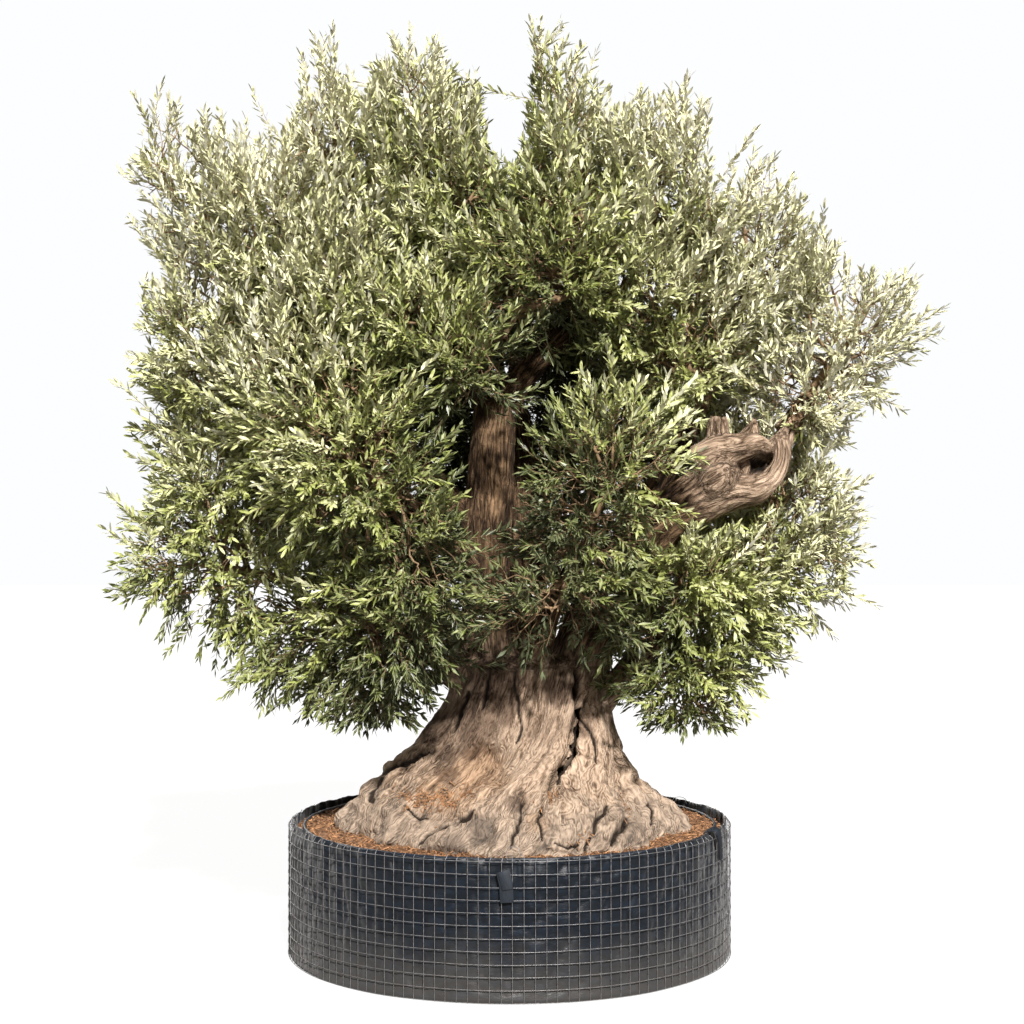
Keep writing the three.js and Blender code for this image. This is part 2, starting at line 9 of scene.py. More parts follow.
import bpy
import numpy as np
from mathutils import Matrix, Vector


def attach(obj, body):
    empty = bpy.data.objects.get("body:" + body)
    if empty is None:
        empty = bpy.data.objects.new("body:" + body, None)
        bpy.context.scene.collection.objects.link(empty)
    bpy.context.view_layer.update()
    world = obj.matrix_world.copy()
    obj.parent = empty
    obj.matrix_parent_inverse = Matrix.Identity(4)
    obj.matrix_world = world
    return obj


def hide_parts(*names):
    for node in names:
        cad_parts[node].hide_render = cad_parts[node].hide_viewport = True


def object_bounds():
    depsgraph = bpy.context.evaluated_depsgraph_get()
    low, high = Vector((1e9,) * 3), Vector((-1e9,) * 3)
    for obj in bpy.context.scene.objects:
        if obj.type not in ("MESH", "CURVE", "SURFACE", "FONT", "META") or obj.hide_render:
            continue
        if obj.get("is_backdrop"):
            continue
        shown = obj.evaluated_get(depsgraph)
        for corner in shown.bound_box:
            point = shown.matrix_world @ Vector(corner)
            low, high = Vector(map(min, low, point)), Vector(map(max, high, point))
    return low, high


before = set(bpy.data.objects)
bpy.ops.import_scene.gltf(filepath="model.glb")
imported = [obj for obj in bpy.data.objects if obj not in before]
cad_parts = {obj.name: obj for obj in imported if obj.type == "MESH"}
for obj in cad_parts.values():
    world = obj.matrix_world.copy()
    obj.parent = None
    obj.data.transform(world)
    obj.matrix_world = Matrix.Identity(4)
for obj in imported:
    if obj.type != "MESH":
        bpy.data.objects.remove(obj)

bl_info = {
    "name": "Old olive tree in a crate",
    "version": (1, 0, 0),
    "blender": (4, 5, 0),
    "location": "View3D > Sidebar > Olive tree",
    "description": "Grows an old olive tree with its bark, twigs and leaves, and its crate",
    "category": "Add Mesh",
}

MM = 0.001
GOLDEN_ANGLE = math.pi * (3 - math.sqrt(5))

# ---------------------------------------------------------------- the tree's own sizes
CRATE = {"radius": 1000, "height": 590, "wire": 3, "liner": 5, "tuck": 6, "hoop_top": 572}
SOIL = {"top": 560, "edge": 535, "shoulder": 70}
HOSE = {"ring": 928, "radius": 8, "level": 557, "steps": 240}
LINER = {"columns": 719, "levels": 44, "turned": 29, "fold": 4}
STRAP = {"wide": 55, "thick": 4, "long": 125, "top": 535, "angle": -91, "lean": -9}
LOOP = {"angle": -28, "wide": 36, "thick": 3, "top": 578, "long": 105}
# Loose wires on the soil: middle, half width, height and lean.
LOOSE_WIRES = (((15, -940, 560), 30, 62, 0.2), ((812, 420, 575), 34, 40, 0.5))
MULCH = {"inner": 640, "off_liner": 40}

# Beds of litter on the trunk: angle at the top, height share, spread in both, and share of the chips.
LITTER_BEDS = (
    (255, 0.235, 16, 0.035, 0.55),
    (240, 0.25, 10, 0.02, 0.15),
    (317, 0.27, 2.5, 0.02, 0.1),
    (330, 0.1, 2.0, 0.03, 0.1),
    (350, 0.17, 3, 0.03, 0.1),
)

TRUNK = {
    "height": 740,
    "waist": (305, 280),
    "flare": (395, 480),
    "flare_fade": 0.44,
    "foot": 20,
    "lean": 80,
    "sway": (55, 0.27, 0.16),
    "dome": 70,
    "buried": -0.02,
    "swirl": 45,
    "swirl_at": 318,
    "swirl_width": 70,
    "hose_room": 20,
}

# Ridges and clefts: angle at the top, width, rise, and the share of the height from low to high.
FLUTES = (
    (312, 13, 0.13, -1, 2),
    (326, 5, -0.3, 0.22, 2),
    (344, 12, 0.1, -1, 2),
    (357, 6, -0.09, 0.05, 0.8),
    (14, 14, 0.08, -1, 2),
    (288, 6, -0.22, 0.72, 2),
    (262, 14, -0.17, 0.02, 0.6),
    (236, 10, 0.06, -1, 2),
    (190, 24, 0.07, -1, 2),
    (150, 8, -0.12, 0.1, 2),
    (128, 13, 0.1, -1, 2),
    (98, 7, -0.14, 0.05, 2),
    (70, 14, 0.09, -1, 2),
    (42, 7, -0.1, 0.1, 2),
)

# Knuckles of root: angle, height share, spread in degrees and in height, and rise.
TOES = (
    (252, 0.03, 8, 0.09, 55),
    (268, 0.1, 7, 0.1, 40),
    (286, 0.03, 6, 0.1, 60),
    (300, 0.08, 5, 0.1, 65),
    (312, 0.04, 5, 0.08, 50),
    (348, 0.02, 9, 0.08, 60),
    (226, 0.05, 8, 0.1, 45),
    (190, 0.02, 10, 0.08, 40),
    (150, 0.05, 10, 0.1, 45),
    (112, 0.03, 9, 0.1, 55),
    (75, 0.05, 8, 0.1, 50),
    (30, 0.04, 9, 0.1, 50),
)

# Cracks in the bark, each a chain of (angle at the top, height share), with its width and depth.
CRACKS = (
    (((150, 0.8), (146, 0.4), (150, 0.12)), 13, 30),
    (((98, 0.9), (100, 0.5), (96, 0.1)), 13, 32),
    (((42, 0.8), (40, 0.4), (44, 0.1)), 12, 28),
)

# The same on the front, and the swellings between them: places across and up as they look from the front
# at eye height, in mm on the plane through the trunk's middle, then the width and how far it stands out.
FRONT_STROKES = (
    (((300, 1400), (302, 1290), (304, 1224), (308, 1130), (299, 1037), (288, 943), (277, 863), (250, 815),
      (213, 770), (196, 717), (190, 660)), 17, -66),
    (((322, 1040), (352, 985), (381, 944), (392, 880), (398, 830)), 8, -20),
    (((455, 657), (436, 612), (395, 583), (381, 500)), 10, -30),
    (((531, 600), (515, 545), (481, 503), (461, 450)), 13, -34),
    (((-350, 892), (-419, 857), (-486, 817), (-566, 777), (-633, 750), (-682, 685)), 9, -24),
    (((-520, 800), (-590, 730), (-640, 640)), 7, -12),
    (((55, 670), (41, 590), (26, 515), (6, 437)), 9, -22),
    (((-419, 450), (-326, 503), (-206, 557), (-130, 600)), 9, -18),
    (((200, 478), (262, 452), (330, 463)), 7, -14),
    (((366, 505), (352, 460), (346, 415)), 8, -18),
    (((28, 1330), (24, 1224), (40, 1064), (58, 990), (20, 900)), 8, -16),
    (((-90, 1340), (-100, 1180), (-125, 1060)), 9, -16),
    (((-180, 1180), (-215, 1060), (-262, 960)), 8, -14),
    (((150, 640), (128, 560), (150, 470)), 8, -16),
    (((620, 660), (650, 600), (640, 540)), 8, -16),
    (((-480, 640), (-420, 590), (-360, 590)), 7, -12),
    (((240, 1330), (235, 1224), (228, 1037), (206, 903), (138, 810), (34, 730), (-86, 637), (-206, 543),
      (-312, 463)), 70, 26),
    (((-345, 1060), (-400, 960), (-520, 872), (-640, 788), (-712, 677), (-765, 583)), 60, 40),
    (((275, 740), (322, 620), (288, 490)), 62, 22),
    (((495, 630), (448, 500)), 34, 26),
    (((528, 810), (621, 717), (768, 600)), 56, 20),
    (((195, 560), (101, 520)), 42, 18),
    (((-553, 640), (-470, 560)), 60, 16),
    (((-152, 790), (-60, 860)), 95, -26),
)
DUSTED = (((-290, 690), 150), ((-150, 800), 150), ((130, 560), 60))  # warm dry litter dust on the front
# Patches of grey weathering and of painted leaf shadow on the trunk's front: middle as seen from the front,
# and size.
WEATHERED_AND_SHADED = (
    ((40, 650), 62), ((-120, 520), 80), ((-250, 470), 60), ((330, 1010), 70), ((-330, 980), 100),
    ((-150, 1010), 120), ((-290, 865), 75), ((-40, 1110), 120), ((230, 1160), 90), ((-60, 1200), 160),
    ((-290, 790), 60), ((-190, 900), 75),
)
EYE = {"far": 8330, "up": 1945}

# Hollows left by lost limbs, with painted shade in them: angle at the top, height share, width and depth.
KNOTS = ((120, 0.55, 55, 30), (70, 0.78, 34, 20))
CRACK_GIRTH = 480  # the girth at which the widths of cracks are true
NARROW = 40  # strokes cut in narrower than this get raised lips and a floor of painted shade
BARK_BLEND = (1200, 1380)  # the heights between which the boughs' bark takes over from the trunk's
BURIED = 12  # how far into the soil the bark may go
LIMB_REACH = 260  # how far from a limb its bark counts

# Each bough: what it leaves, its radii and its cubic curve.
BOUGHS = {
    "bough_centre": (
        "trunk", (170, 92),
        ((-60, -30, 1000), (-110, -50, 1500), (-100, -80, 2000), (-60, -80, 2460))),
    "bough_top_right": (
        "bough_centre", (84, 50),
        ((-70, -80, 2330), (20, -90, 2640), (230, -130, 2760), (430, -120, 2930))),
    "bough_top_left": (
        "bough_centre", (78, 46),
        ((-70, -70, 2330), (-120, -40, 2640), (-330, 20, 2800), (-500, 20, 3020))),
    "bough_left": (
        "bough_centre", (72, 44),
        ((-90, -60, 1840), (-240, -60, 2080), (-600, -40, 2350), (-900, -20, 2520))),
    "bough_left_front": (
        "bough_centre", (56, 36),
        ((-90, -60, 1640), (-200, -180, 1820), (-360, -330, 1960), (-480, -470, 2050))),
    "bough_low_left": (
        "trunk", (95, 46), ((-110, -60, 1130), (-330, -110, 1360), (-480, -150, 1540), (-680, -170, 1590))),
    "bough_right": (
        "trunk", (165, 100),
        ((240, -50, 1000), (350, -90, 1500), (520, -250, 1890), (900, -330, 2110))),
    "bough_far_right": (
        "bough_right", (60, 38),
        ((1060, -310, 2180), (1140, -270, 2270), (1240, -200, 2370), (1330, -130, 2480))),
    "bough_right_upper": (
        "bough_right", (74, 48), ((430, -110, 1640), (600, 0, 1980), (760, 60, 2230), (860, 60, 2440))),
    "bough_low_right": (
        "trunk", (78, 44), ((250, 0, 980), (520, -20, 1120), (560, -40, 1330), (680, -80, 1400))),
    "bough_front": (
        "trunk", (66, 36), ((100, -60, 1120), (130, -240, 1400), (200, -400, 1620), (280, -500, 1780))),
    "bough_back": (
        "trunk", (120, 62), ((90, 120, 1050), (110, 320, 1500), (60, 480, 2000), (40, 560, 2440))),
    "bough_back_left": (
        "trunk", (92, 46), ((-60, 110, 1080), (-260, 330, 1400), (-460, 540, 1720), (-600, 640, 1980))),
    "bough_back_right": (
        "trunk", (92, 46), ((210, 110, 1080), (420, 320, 1400), (560, 520, 1720), (680, 620, 1980))),
}

# The broken burl that ends the right bough: swellings, then gnarled limbs of (place, radius) that curl
# round its opening, and the hollows torn in its stubs.
SWELLINGS = (
    ((895, -325, 2135), (108, 130, 150)),
    ((1050, -215, 2180), (140, 92, 125)),
)
GNARLS = (
    ((760, -295, 1995, 104), (880, -325, 2030, 86), (990, -345, 2056, 68), (1072, -354, 2066, 65),
     (1140, -350, 2112, 48), (1182, -342, 2176, 42), (1194, -332, 2238, 40), (1184, -325, 2292, 33)),
    ((830, -325, 2180, 90), (915, -352, 2236, 80), (1004, -374, 2254, 60), (1070, -378, 2268, 48),
     (1108, -368, 2262, 34), (1120, -356, 2232, 17)),
    ((1035, -350, 2280, 50), (1062, -345, 2335, 33), (1072, -338, 2384, 12)),
    ((905, -325, 2220, 62), (912, -328, 2320, 50), (910, -330, 2392, 42)),
    ((1150, -300, 2230, 52), (1200, -300, 2285, 48), (1226, -300, 2342, 26)),
    ((985, -290, 2110, 44), (1020, -318, 2158, 30), (1040, -330, 2196, 16)),
)
HOLLOWS = (
    ((911, -330, 2412), (32, 36, 70), 2, -1),
)
BOUGH_STARTS = {"bough_far_right": 0.5}  # how far along its curve a bough comes out of the burl

# What twigs and leaves keep clear of round the burl: middles and radii.
BURL_ROOM = (((1010, -335, 2140), 185), ((1115, -340, 2215), 155), ((930, -330, 2270), 120))
BURL_OPENING = ((1066, -262, 2176), (92, 58, 58))  # the painted shade inside its opening: middle and half sizes

# Masses of foliage: middle, half sizes, the bough that feeds each, and how far its leaves lift.
MASSES = {
    "crest_far_left": ((-1370, 0, 3270), (370, 400, 570), "bough_left", 1),
    "crest_left": ((-800, 40, 3590), (350, 400, 590), "bough_top_left", 1.1),
    "crest_mid_left": ((-330, 0, 3610), (320, 420, 580), "bough_top_left", 1.1),
    "crest_mid_right": ((250, -20, 3640), (260, 400, 610), "bough_top_right", 1.1),
    "crest_right": ((700, -60, 3480), (330, 380, 450), "bough_top_right", 1),
    "shoulder_right": ((1120, 60, 3190), (310, 400, 510), "bough_right_upper", 1),
    "far_right": ((1560, -40, 2780), (390, 420, 480), "bough_far_right", 0.8),
    "right_middle": ((760, -60, 2700), (400, 420, 400), "bough_right_upper", 0.7),
    "left_upper": ((-760, -180, 2930), (470, 480, 430), "bough_top_left", 0.8),
    "far_left": ((-1340, -20, 2430), (430, 450, 440), "bough_left", 0.6),
    "left_front": ((-690, -640, 2200), (480, 430, 560), "bough_left_front", 0.3),
    "low_far_left": ((-1410, -80, 1740), (480, 430, 320), "bough_low_left", 0.1),
    "low_left": ((-820, -170, 1430), (500, 450, 380), "bough_low_left", -0.2),
    "centre_upper": ((130, -360, 3010), (420, 400, 420), "bough_top_right", 0.6),
    "centre_front": ((440, -640, 2140), (390, 360, 470), "bough_front", 0.2),
    "front_low": ((170, -680, 1540), (420, 330, 270), "bough_front", -0.1),
    "low_far_right": ((1250, -60, 1780), (450, 430, 390), "bough_low_right", 0.5),
    "low_right": ((790, -170, 1360), (420, 420, 340), "bough_low_right", -0.1),
    "crest_back": ((-60, 560, 3330), (520, 430, 560), "bough_back", 1),
    "back_middle": ((40, 1010, 2560), (480, 460, 560), "bough_back", 0.5),
    "back_left": ((-850, 780, 2480), (520, 500, 620), "bough_back_left", 0.6),
    "back_right": ((900, 770, 2440), (510, 490, 600), "bough_back_right", 0.6),
    "back_low_left": ((-560, 900, 1620), (520, 440, 370), "bough_back_left", 0),
    "back_low_right": ((560, 900, 1620), (520, 440, 370), "bough_back_right", 0),
}

STEM = {"radius": 26, "tip": 14}
TWIG = {
    "count": 4, "radius": 27, "low": 0.5, "high": 0.95, "sag": 0.12,
    "reaches": (0.58, 0.48, 0.38, 0.28),
}
TWIG_CLEARANCE = 12
SPACE_MARGIN = 0.07
SPACE_EDGE = 1.02
BALL_STEP = 25  # how close together the balls along a limb stand
TIP_GAP = 0.3
FRAME_STEPS = 24

# Shoots: the finer growth that carries the leaves.
SHOOT = {
    "edge": 2.6,  # how deep in the crown the outermost shoots start
    "ragged": 2.4,  # how uneven that is
    "hidden": 6.5,  # how deep in the crown most shoots no longer grow
    "steep": 1.5,  # how sharply the crown ends
    "rim": 1.35,  # how deep in the crown the tips stay
    "notched": 7.5,  # how unevenly
    "short": 140, "long": 330,
    "crest": 1.35,  # how much longer the shoots of the crest are
    "hole": 95, "filled": 0.115,  # how wide the gaps between the sprays are, and how few
    "open": 0.095,  # how many more at the crest
    "closed": 0.06,  # how many fewer behind
    "airy": 0.04,  # how many more at the sides
    "clear": 22,
    "detour": 0.34,  # how much a long way back to the root counts against a nearer twig
    "tip": 1.3, "spread": 0.5,
    "pair_gap": 20.5,
    "room": 55,  # kept inside the tree's box for the leaves at a tip
    "past": 1.15,  # how far out of a lobe shoots are tried, in half sizes
    "inward": 2.6,  # below 3 they stand closer together in the middle of a lobe
    "tries": 5, "cut": 0.72,  # how often a shoot that doesn't fit is cut back, and to what share
}
CREST = (2900, 3600)  # the heights between which the crown's crest begins
BEHIND = (150, 600)  # how far back the sprays become fuller
ASIDE = (900, 1500)  # how far to the side they become thinner
# Leaves: how far they bend, how far they stand off the shoot in degrees at its foot and how much less
# at its tip, and their outlines as (share of the length, share of the width).
LEAF = {
    "bend": 0.1, "open": 44, "closing": 24, "uneven": 7,
    "full": ((0.3, 0.92), (0.74, 0.82)), "few": ((0.45, 1.05),),
}
SKYWARD = (0.0, -0.12, 0.55)  # where the upper sides of the leaves turn, most of it up
UNDERSIDE = (236, 234, 216)  # what the undersides of the leaves come near
PAINTED_HIGHLIGHT = (246, 242, 226)  # what the painted highlight on their upper sides comes near
MIDRIB = (190, 190, 146)
SIMPLE_TINTS = 4  # how many of the deepest tints have leaves of few faces
MOST_LEAVES = 49000
TINTS = 8

# The lobes of the crown: each mass, and smaller ones that fill out its edge, with the mass that grows them.
LOBES = tuple((name, middle, size) for name, (middle, size, _, _) in MASSES.items()) + (
    ("far_right", (1290, -190, 2440), (200, 260, 190)),
    ("left_front", (-400, -600, 1780), (230, 250, 330)),
    ("low_left", (-470, -470, 1420), (250, 300, 200)),
    ("centre_upper", (-190, -470, 2600), (220, 250, 200)),
    ("left_upper", (-380, -340, 2780), (220, 260, 230)),
    ("centre_front", (250, -520, 1950), (180, 250, 330)),
    ("low_right", (770, -300, 1690), (320, 320, 220)),
    ("crest_mid_left", (-150, -100, 3370), (170, 300, 240)),
    ("crest_mid_right", (250, -150, 3270), (200, 300, 230)),
    ("shoulder_right", (850, -60, 3350), (190, 300, 200)),
    ("crest_left", (-1090, -100, 3290), (230, 300, 260)),
    ("far_left", (-1400, -50, 2820), (240, 330, 240)),
    ("left_upper", (-940, -380, 2490), (300, 300, 250)),
    ("low_far_left", (-1280, -150, 2060), (280, 330, 230)),
    ("right_middle", (590, -150, 2970), (240, 300, 220)),
    ("low_far_right", (1260, 0, 2060), (270, 320, 210)),
    ("crest_far_left", (-1580, -20, 3560), (140, 260, 250)),
    ("low_left", (-560, -250, 1160), (280, 280, 180)),
    ("low_right", (800, -200, 1130), (220, 260, 130)),
    ("crest_mid_left", (-440, -40, 3890), (80, 200, 180)),
    ("crest_mid_right", (110, -40, 3960), (65, 200, 190)),
    ("crest_back", (0, 800, 2990), (400, 340, 250)),
    ("back_left", (-450, 860, 2560), (250, 340, 340)),
    ("back_right", (500, 860, 2520), (250, 340, 340)),
    ("back_middle", (20, 900, 2000), (380, 380, 260)),
    ("back_left", (-900, 560, 1960), (300, 330, 260)),
    ("back_right", (930, 540, 1950), (300, 330, 260)),
)
TYPICAL_SIZE = 410 * 420 * 480

# Gaps in the crown's edge, open from front to back: across, up, half width and half height.
EDGE_GAPS = (
    (-657, 4190, 105, 300), (-190, 4230, 140, 330), (-1050, 3930, 80, 400), (-1400, 3930, 90, 250),
    (-1850, 1990, 120, 70), (-1760, 1480, 170, 110), (190, 4230, 42, 240), (330, 4240, 90, 180),
    (520, 4120, 125, 290), (960, 3650, 120, 240), (1450, 3640, 230, 390), (1700, 3290, 200, 260),
    (1930, 2560, 230, 110), (1830, 2290, 230, 170), (-1700, 2080, 110, 90),
)
LEFT_GAPS = (
    (-1726, 3623, 120, 80), (-1703, 3382, 180, 60), (-1726, 3086, 150, 85), (-1703, 2723, 200, 70),
    (-1726, 2450, 130, 90), (-1770, 2245, 110, 50),
)


def edge_clearings(rows, depth):
    return tuple(((across, 0, up), (wide, depth, tall)) for across, up, wide, tall in rows)


# Places that twigs and leaves leave open, so that sky or limbs show through: middles and half sizes.
CLEARINGS = (
    ((-12, 0, 3950), (122, 1500, 500)),
    ((170, -1020, 1370), (470, 400, 240)),
    ((-105, -620, 2130), (95, 520, 400)),
    ((60, -540, 2620), (110, 420, 110)),
    ((225, -540, 2775), (120, 420, 100)),
    ((1060, -640, 2190), (210, 300, 190)),
    ((750, -620, 2040), (230, 330, 95)),
    ((-2160, 0, 2900), (470, 1200, 1000)),
    ((-600, -250, 850), (540, 640, 200)),
    ((720, -250, 850), (440, 640, 185)),
) + edge_clearings(EDGE_GAPS, 620) + edge_clearings(LEFT_GAPS, 520)


# ---------------------------------------------------------------- numbers and curves
def bump(x):
    return np.exp(-x * x)


def smoothstep(low, high, x):
    share = np.clip((x - low) / (high - low), 0, 1)
    return share * share * (3 - 2 * share)


def turns_apart(a, b):
    return ((a - b) % 360 + 540) % 360 - 180


def unit(way):
    return way / np.maximum(np.linalg.norm(way, axis=-1, keepdims=True), 1e-9)


def seeded(seed):
    """A small generator of even numbers in 0 to 1, the same ones for the same seed."""
    state = (seed * 2654435761) % 4294967296
    while True:
        state = (state * 1664525 + 1013904223) % 4294967296
        yield state / 4294967296


def bezier(path, t):
    """The points of a Bezier curve of any order at the shares t."""
    t = np.atleast_1d(np.asarray(t, float))[:, None]
    points = [np.broadcast_to(np.asarray(point, float), (len(t), 3)) for point in path]
    while len(points) > 1:
        points = [a + (b - a) * t for a, b in zip(points, points[1:])]
    return points[0]


def slope(path, t):
    return unit(bezier(np.diff(np.asarray(path, float), axis=0), t))


def curve_length(path):
    points = bezier(path, np.linspace(0, 1, 200))
    return float(np.linalg.norm(np.diff(points, axis=0), axis=1).sum())


def carried_frames(ways):
    """Two more directions for each of a line's directions, which turn as little as they can."""
    across = np.array((0.0, 0, 1)) if abs(ways[0][2]) < 0.9 else np.array((1.0, 0, 0))
    normals = []
    for way in ways:
        across = unit(across - way * across.dot(way))
        normals.append(across)
    normals = np.array(normals)
    return ways, normals, np.cross(ways, normals)


def frame_at_tip(path):
    ways, normals, binormals = carried_frames(slope(path, np.linspace(0, 1, FRAME_STEPS + 1)))
    return bezier(path, 1)[0], ways[-1], normals[-1], binormals[-1]


def lattice(cell, seed):
    """An even number from 0 to 1 for each whole-number cell."""
    mixed = cell @ np.array((374761393, 668265263, 2147483647)) + seed * 974634721
    mixed = (mixed & 0xFFFFFFFF) ^ ((mixed & 0xFFFFFFFF) >> 13)
    mixed = (mixed * 1274126177) & 0xFFFFFFFF
    mixed = mixed ^ (mixed >> 16)
    return mixed / 4294967296.0


def noise(points, seed=0):
    """Smooth noise from 0 to 1 at each point, with features of about one unit."""
    floor = np.floor(points)
    part = points - floor
    part = part * part * (3 - 2 * part)
    cell = floor.astype(np.int64)
    total = np.zeros(points.shape[:-1])
    for corner in itertools.product((0, 1), repeat=3):
        offset = np.array(corner)
        weight = np.prod(np.where(offset == 1, part, 1 - part), axis=-1)
        total += weight * lattice(cell + offset, seed)
    return total


def cloud(points, seed=0):
    """Noise of two sizes together, from 0 to 1."""
    return 0.65 * noise(points, seed) + 0.35 * noise(points * 2.17 + 5.3, seed + 1)


def cords(points, seed=0):
    """Rounded ridges with sharp valleys between them, from 0 to 1."""
    return np.clip(np.abs(2 * cloud(points, seed) - 1) * 2.2, 0, 1) ** 0.75


def drift(points, size, seed, step=11):
    """Noise along each of the three axes, from -0.5 to 0.5, in swirls of that size."""
    return np.stack([cloud(points / size, seed + step * axis) - 0.5 for axis in range(3)], axis=-1)


def warp(points, size, reach, seed):
    """The points moved about by up to reach, in swirls of that size."""
    return points + 2 * reach * drift(points, size, seed)


def ring_angles(count):
    """Angles spread evenly round a full turn."""
    return np.arange(count) * 2 * math.pi / count


def on_ring(turn, radius, z):
    """Places round the upright axis at given angles, radii and heights."""
    return np.stack(np.broadcast_arrays(radius * np.cos(turn), radius * np.sin(turn), z), axis=-1)


# ---------------------------------------------------------------- meshes
def mesh_object(name, points, faces, uv=None, smooth=True):
    """A mesh object from points in millimetres and faces that all have as many corners."""
    mesh = bpy.data.meshes.new(name)
    faces = np.asarray(faces, dtype=np.int32)
    mesh.vertices.add(len(points))
    mesh.vertices.foreach_set("co", (np.asarray(points) * MM).astype(np.float32).ravel())
    mesh.loops.add(faces.size)
    mesh.loops.foreach_set("vertex_index", faces.ravel())
    mesh.polygons.add(len(faces))
    mesh.polygons.foreach_set("loop_start", np.arange(0, faces.size, faces.shape[1], dtype=np.int32))
    mesh.polygons.foreach_set("use_smooth", np.full(len(faces), smooth))
    if uv is not None:
        layer = mesh.uv_layers.new(name="UVMap")
        layer.data.foreach_set("uv", np.asarray(uv, dtype=np.float32)[faces.ravel()].ravel())
    mesh.update()
    made = bpy.data.objects.new(name, mesh)
    bpy.context.scene.collection.objects.link(made)
    return made


def give_values(piece, key, numbers):
    """Stores a number or a place for each vertex under a name that the piece's material reads."""
    numbers = np.asarray(numbers, dtype=np.float32)
    if numbers.ndim == 1:
        piece.data.attributes.new(key, "FLOAT", "POINT").data.foreach_set("value", numbers)
    else:
        piece.data.attributes.new(key, "FLOAT_VECTOR", "POINT").data.foreach_set("vector", numbers.ravel())


def place(piece, material, slot, *nodes):
    """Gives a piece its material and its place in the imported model."""
    piece.data.materials.append(material)
    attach(piece, "root")
    if nodes:
        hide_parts(*nodes)


def grid_faces(rows, columns):
    """Four-sided faces of a grid of rows and columns, closed round its columns."""
    row = np.arange(rows - 1)[:, None]
    column = np.arange(columns)[None, :]
    first = row * columns + column
    second = row * columns + (column + 1) % columns
    return np.stack([first, second, second + columns, first + columns], axis=-1).reshape(-1, 4)


def closed_grid(points, rows, columns, ends):
    """A grid closed round its columns and by a fan at each end, as points and three-cornered faces."""
    faces = grid_faces(rows, columns)
    column = np.arange(columns)
    after = (column + 1) % columns
    low = np.full(columns, len(points))
    last = (rows - 1) * columns
    triangles = [
        faces[:, (0, 1, 2)],
        faces[:, (0, 2, 3)],
        np.stack([low, after, column], axis=-1),
        np.stack([low + 1, last + column, last + after], axis=-1),
    ]
    return np.concatenate([points, ends]), np.concatenate(triangles)


def repeated(faces, count, step):
    """The faces of one small mesh for each of a count of them, with that many points in each."""
    return (faces[None] + (np.arange(count) * step)[:, None, None]).reshape(-1, faces.shape[1])


def rings_across(line, normals, binormals, radii, sides):
    """A ring of points across each point of a line."""
    angle = ring_angles(sides)[:, None]
    ring = normals[:, None] * np.cos(angle) + binormals[:, None] * np.sin(angle)
    return line[:, None] + ring * radii[:, None, None]


def tube(line, radii, sides, closed=False):
    """The points and faces of one tube along a line of points."""
    ways = np.gradient(line, axis=0)
    if closed:
        ways = np.roll(line, -1, axis=0) - np.roll(line, 1, axis=0)
    _, normals, binormals = carried_frames(unit(ways))
    points = rings_across(line, normals, binormals, radii, sides).reshape(-1, 3)
    return points, grid_faces(len(line) + closed, sides) % len(points)


def gathered(parts):
    """Several sets of points and faces as one."""
    points, faces = zip(*parts)
    starts = np.cumsum([0] + [len(part) for part in points[:-1]])
    return np.concatenate(points), np.concatenate([part + start for part, start in zip(faces, starts)])


def prisms(starts, ends, start_radii, end_radii, sides):
    """Many open tubes of one step each, as points and four-sided faces."""
    ways = unit(ends - starts)
    across = np.where(np.abs(ways[:, 2:3]) < 0.9, (0.0, 0, 1), (1.0, 0, 0))
    normals = unit(np.cross(ways, across))
    binormals = np.cross(ways, normals)
    low = rings_across(starts, normals, binormals, start_radii, sides)
    high = rings_across(ends, normals, binormals, end_radii, sides)
    points = np.concatenate([low, high], axis=1).reshape(-1, 3)
    return points, repeated(grid_faces(2, sides), len(starts), 2 * sides)


# ---------------------------------------------------------------- trunk and boughs
def trunk_flare(share):
    return np.exp(-np.abs(share / TRUNK["flare_fade"]) ** 1.5)


def trunk_middle(share):
    left, at, tall = TRUNK["sway"]
    return TRUNK["foot"] + TRUNK["lean"] * share - left * bump((share - at) / tall)


def trunk_swirl(top, share):
    turn = TRUNK["swirl"] * bump(turns_apart(top, TRUNK["swirl_at"]) / TRUNK["swirl_width"])
    return turn * np.clip(1 - share, 0, 1) ** 1.2


def trunk_surface(top, share):
    """The trunk's surface on the flute that starts at an angle at the top, at a share of the height."""
    angle = np.radians(top - trunk_swirl(top, share))
    flare = trunk_flare(share)
    half_width = TRUNK["waist"][0] + TRUNK["flare"][0] * flare
    half_depth = TRUNK["waist"][1] + TRUNK["flare"][1] * flare
    radius = 1 / np.hypot(np.cos(angle) / half_width, np.sin(angle) / half_depth)
    for at, width, rise, low, high in FLUTES:
        fade = smoothstep(low, low + 0.16, share) * (1 - smoothstep(high - 0.16, high, share))
        radius = radius * (1 + rise * fade * bump(turns_apart(top, at) / width))
    for at, up, spread, tall, rise in TOES:
        beside = turns_apart(np.degrees(angle), at) / spread
        radius = radius + rise * bump(beside) * bump((share - up) / tall)
    middle = trunk_middle(share)
    reach = np.minimum(radius, HOSE["ring"] - HOSE["radius"] - TRUNK["hose_room"] - np.abs(middle))
    x = middle + reach * np.cos(angle)
    return np.stack([x, reach * np.sin(angle), SOIL["top"] + TRUNK["height"] * share], axis=-1)


def trunk_flow(points):
    """The angle at the top of the flute that each point is on, and its share of the height."""
    share = (points[:, 2] - SOIL["top"]) / TRUNK["height"]
    around = np.degrees(np.arctan2(points[:, 1], points[:, 0] - trunk_middle(share)))
    top = around.copy()
    for _ in range(30):
        top = around + trunk_swirl(top, share)
    return top, share


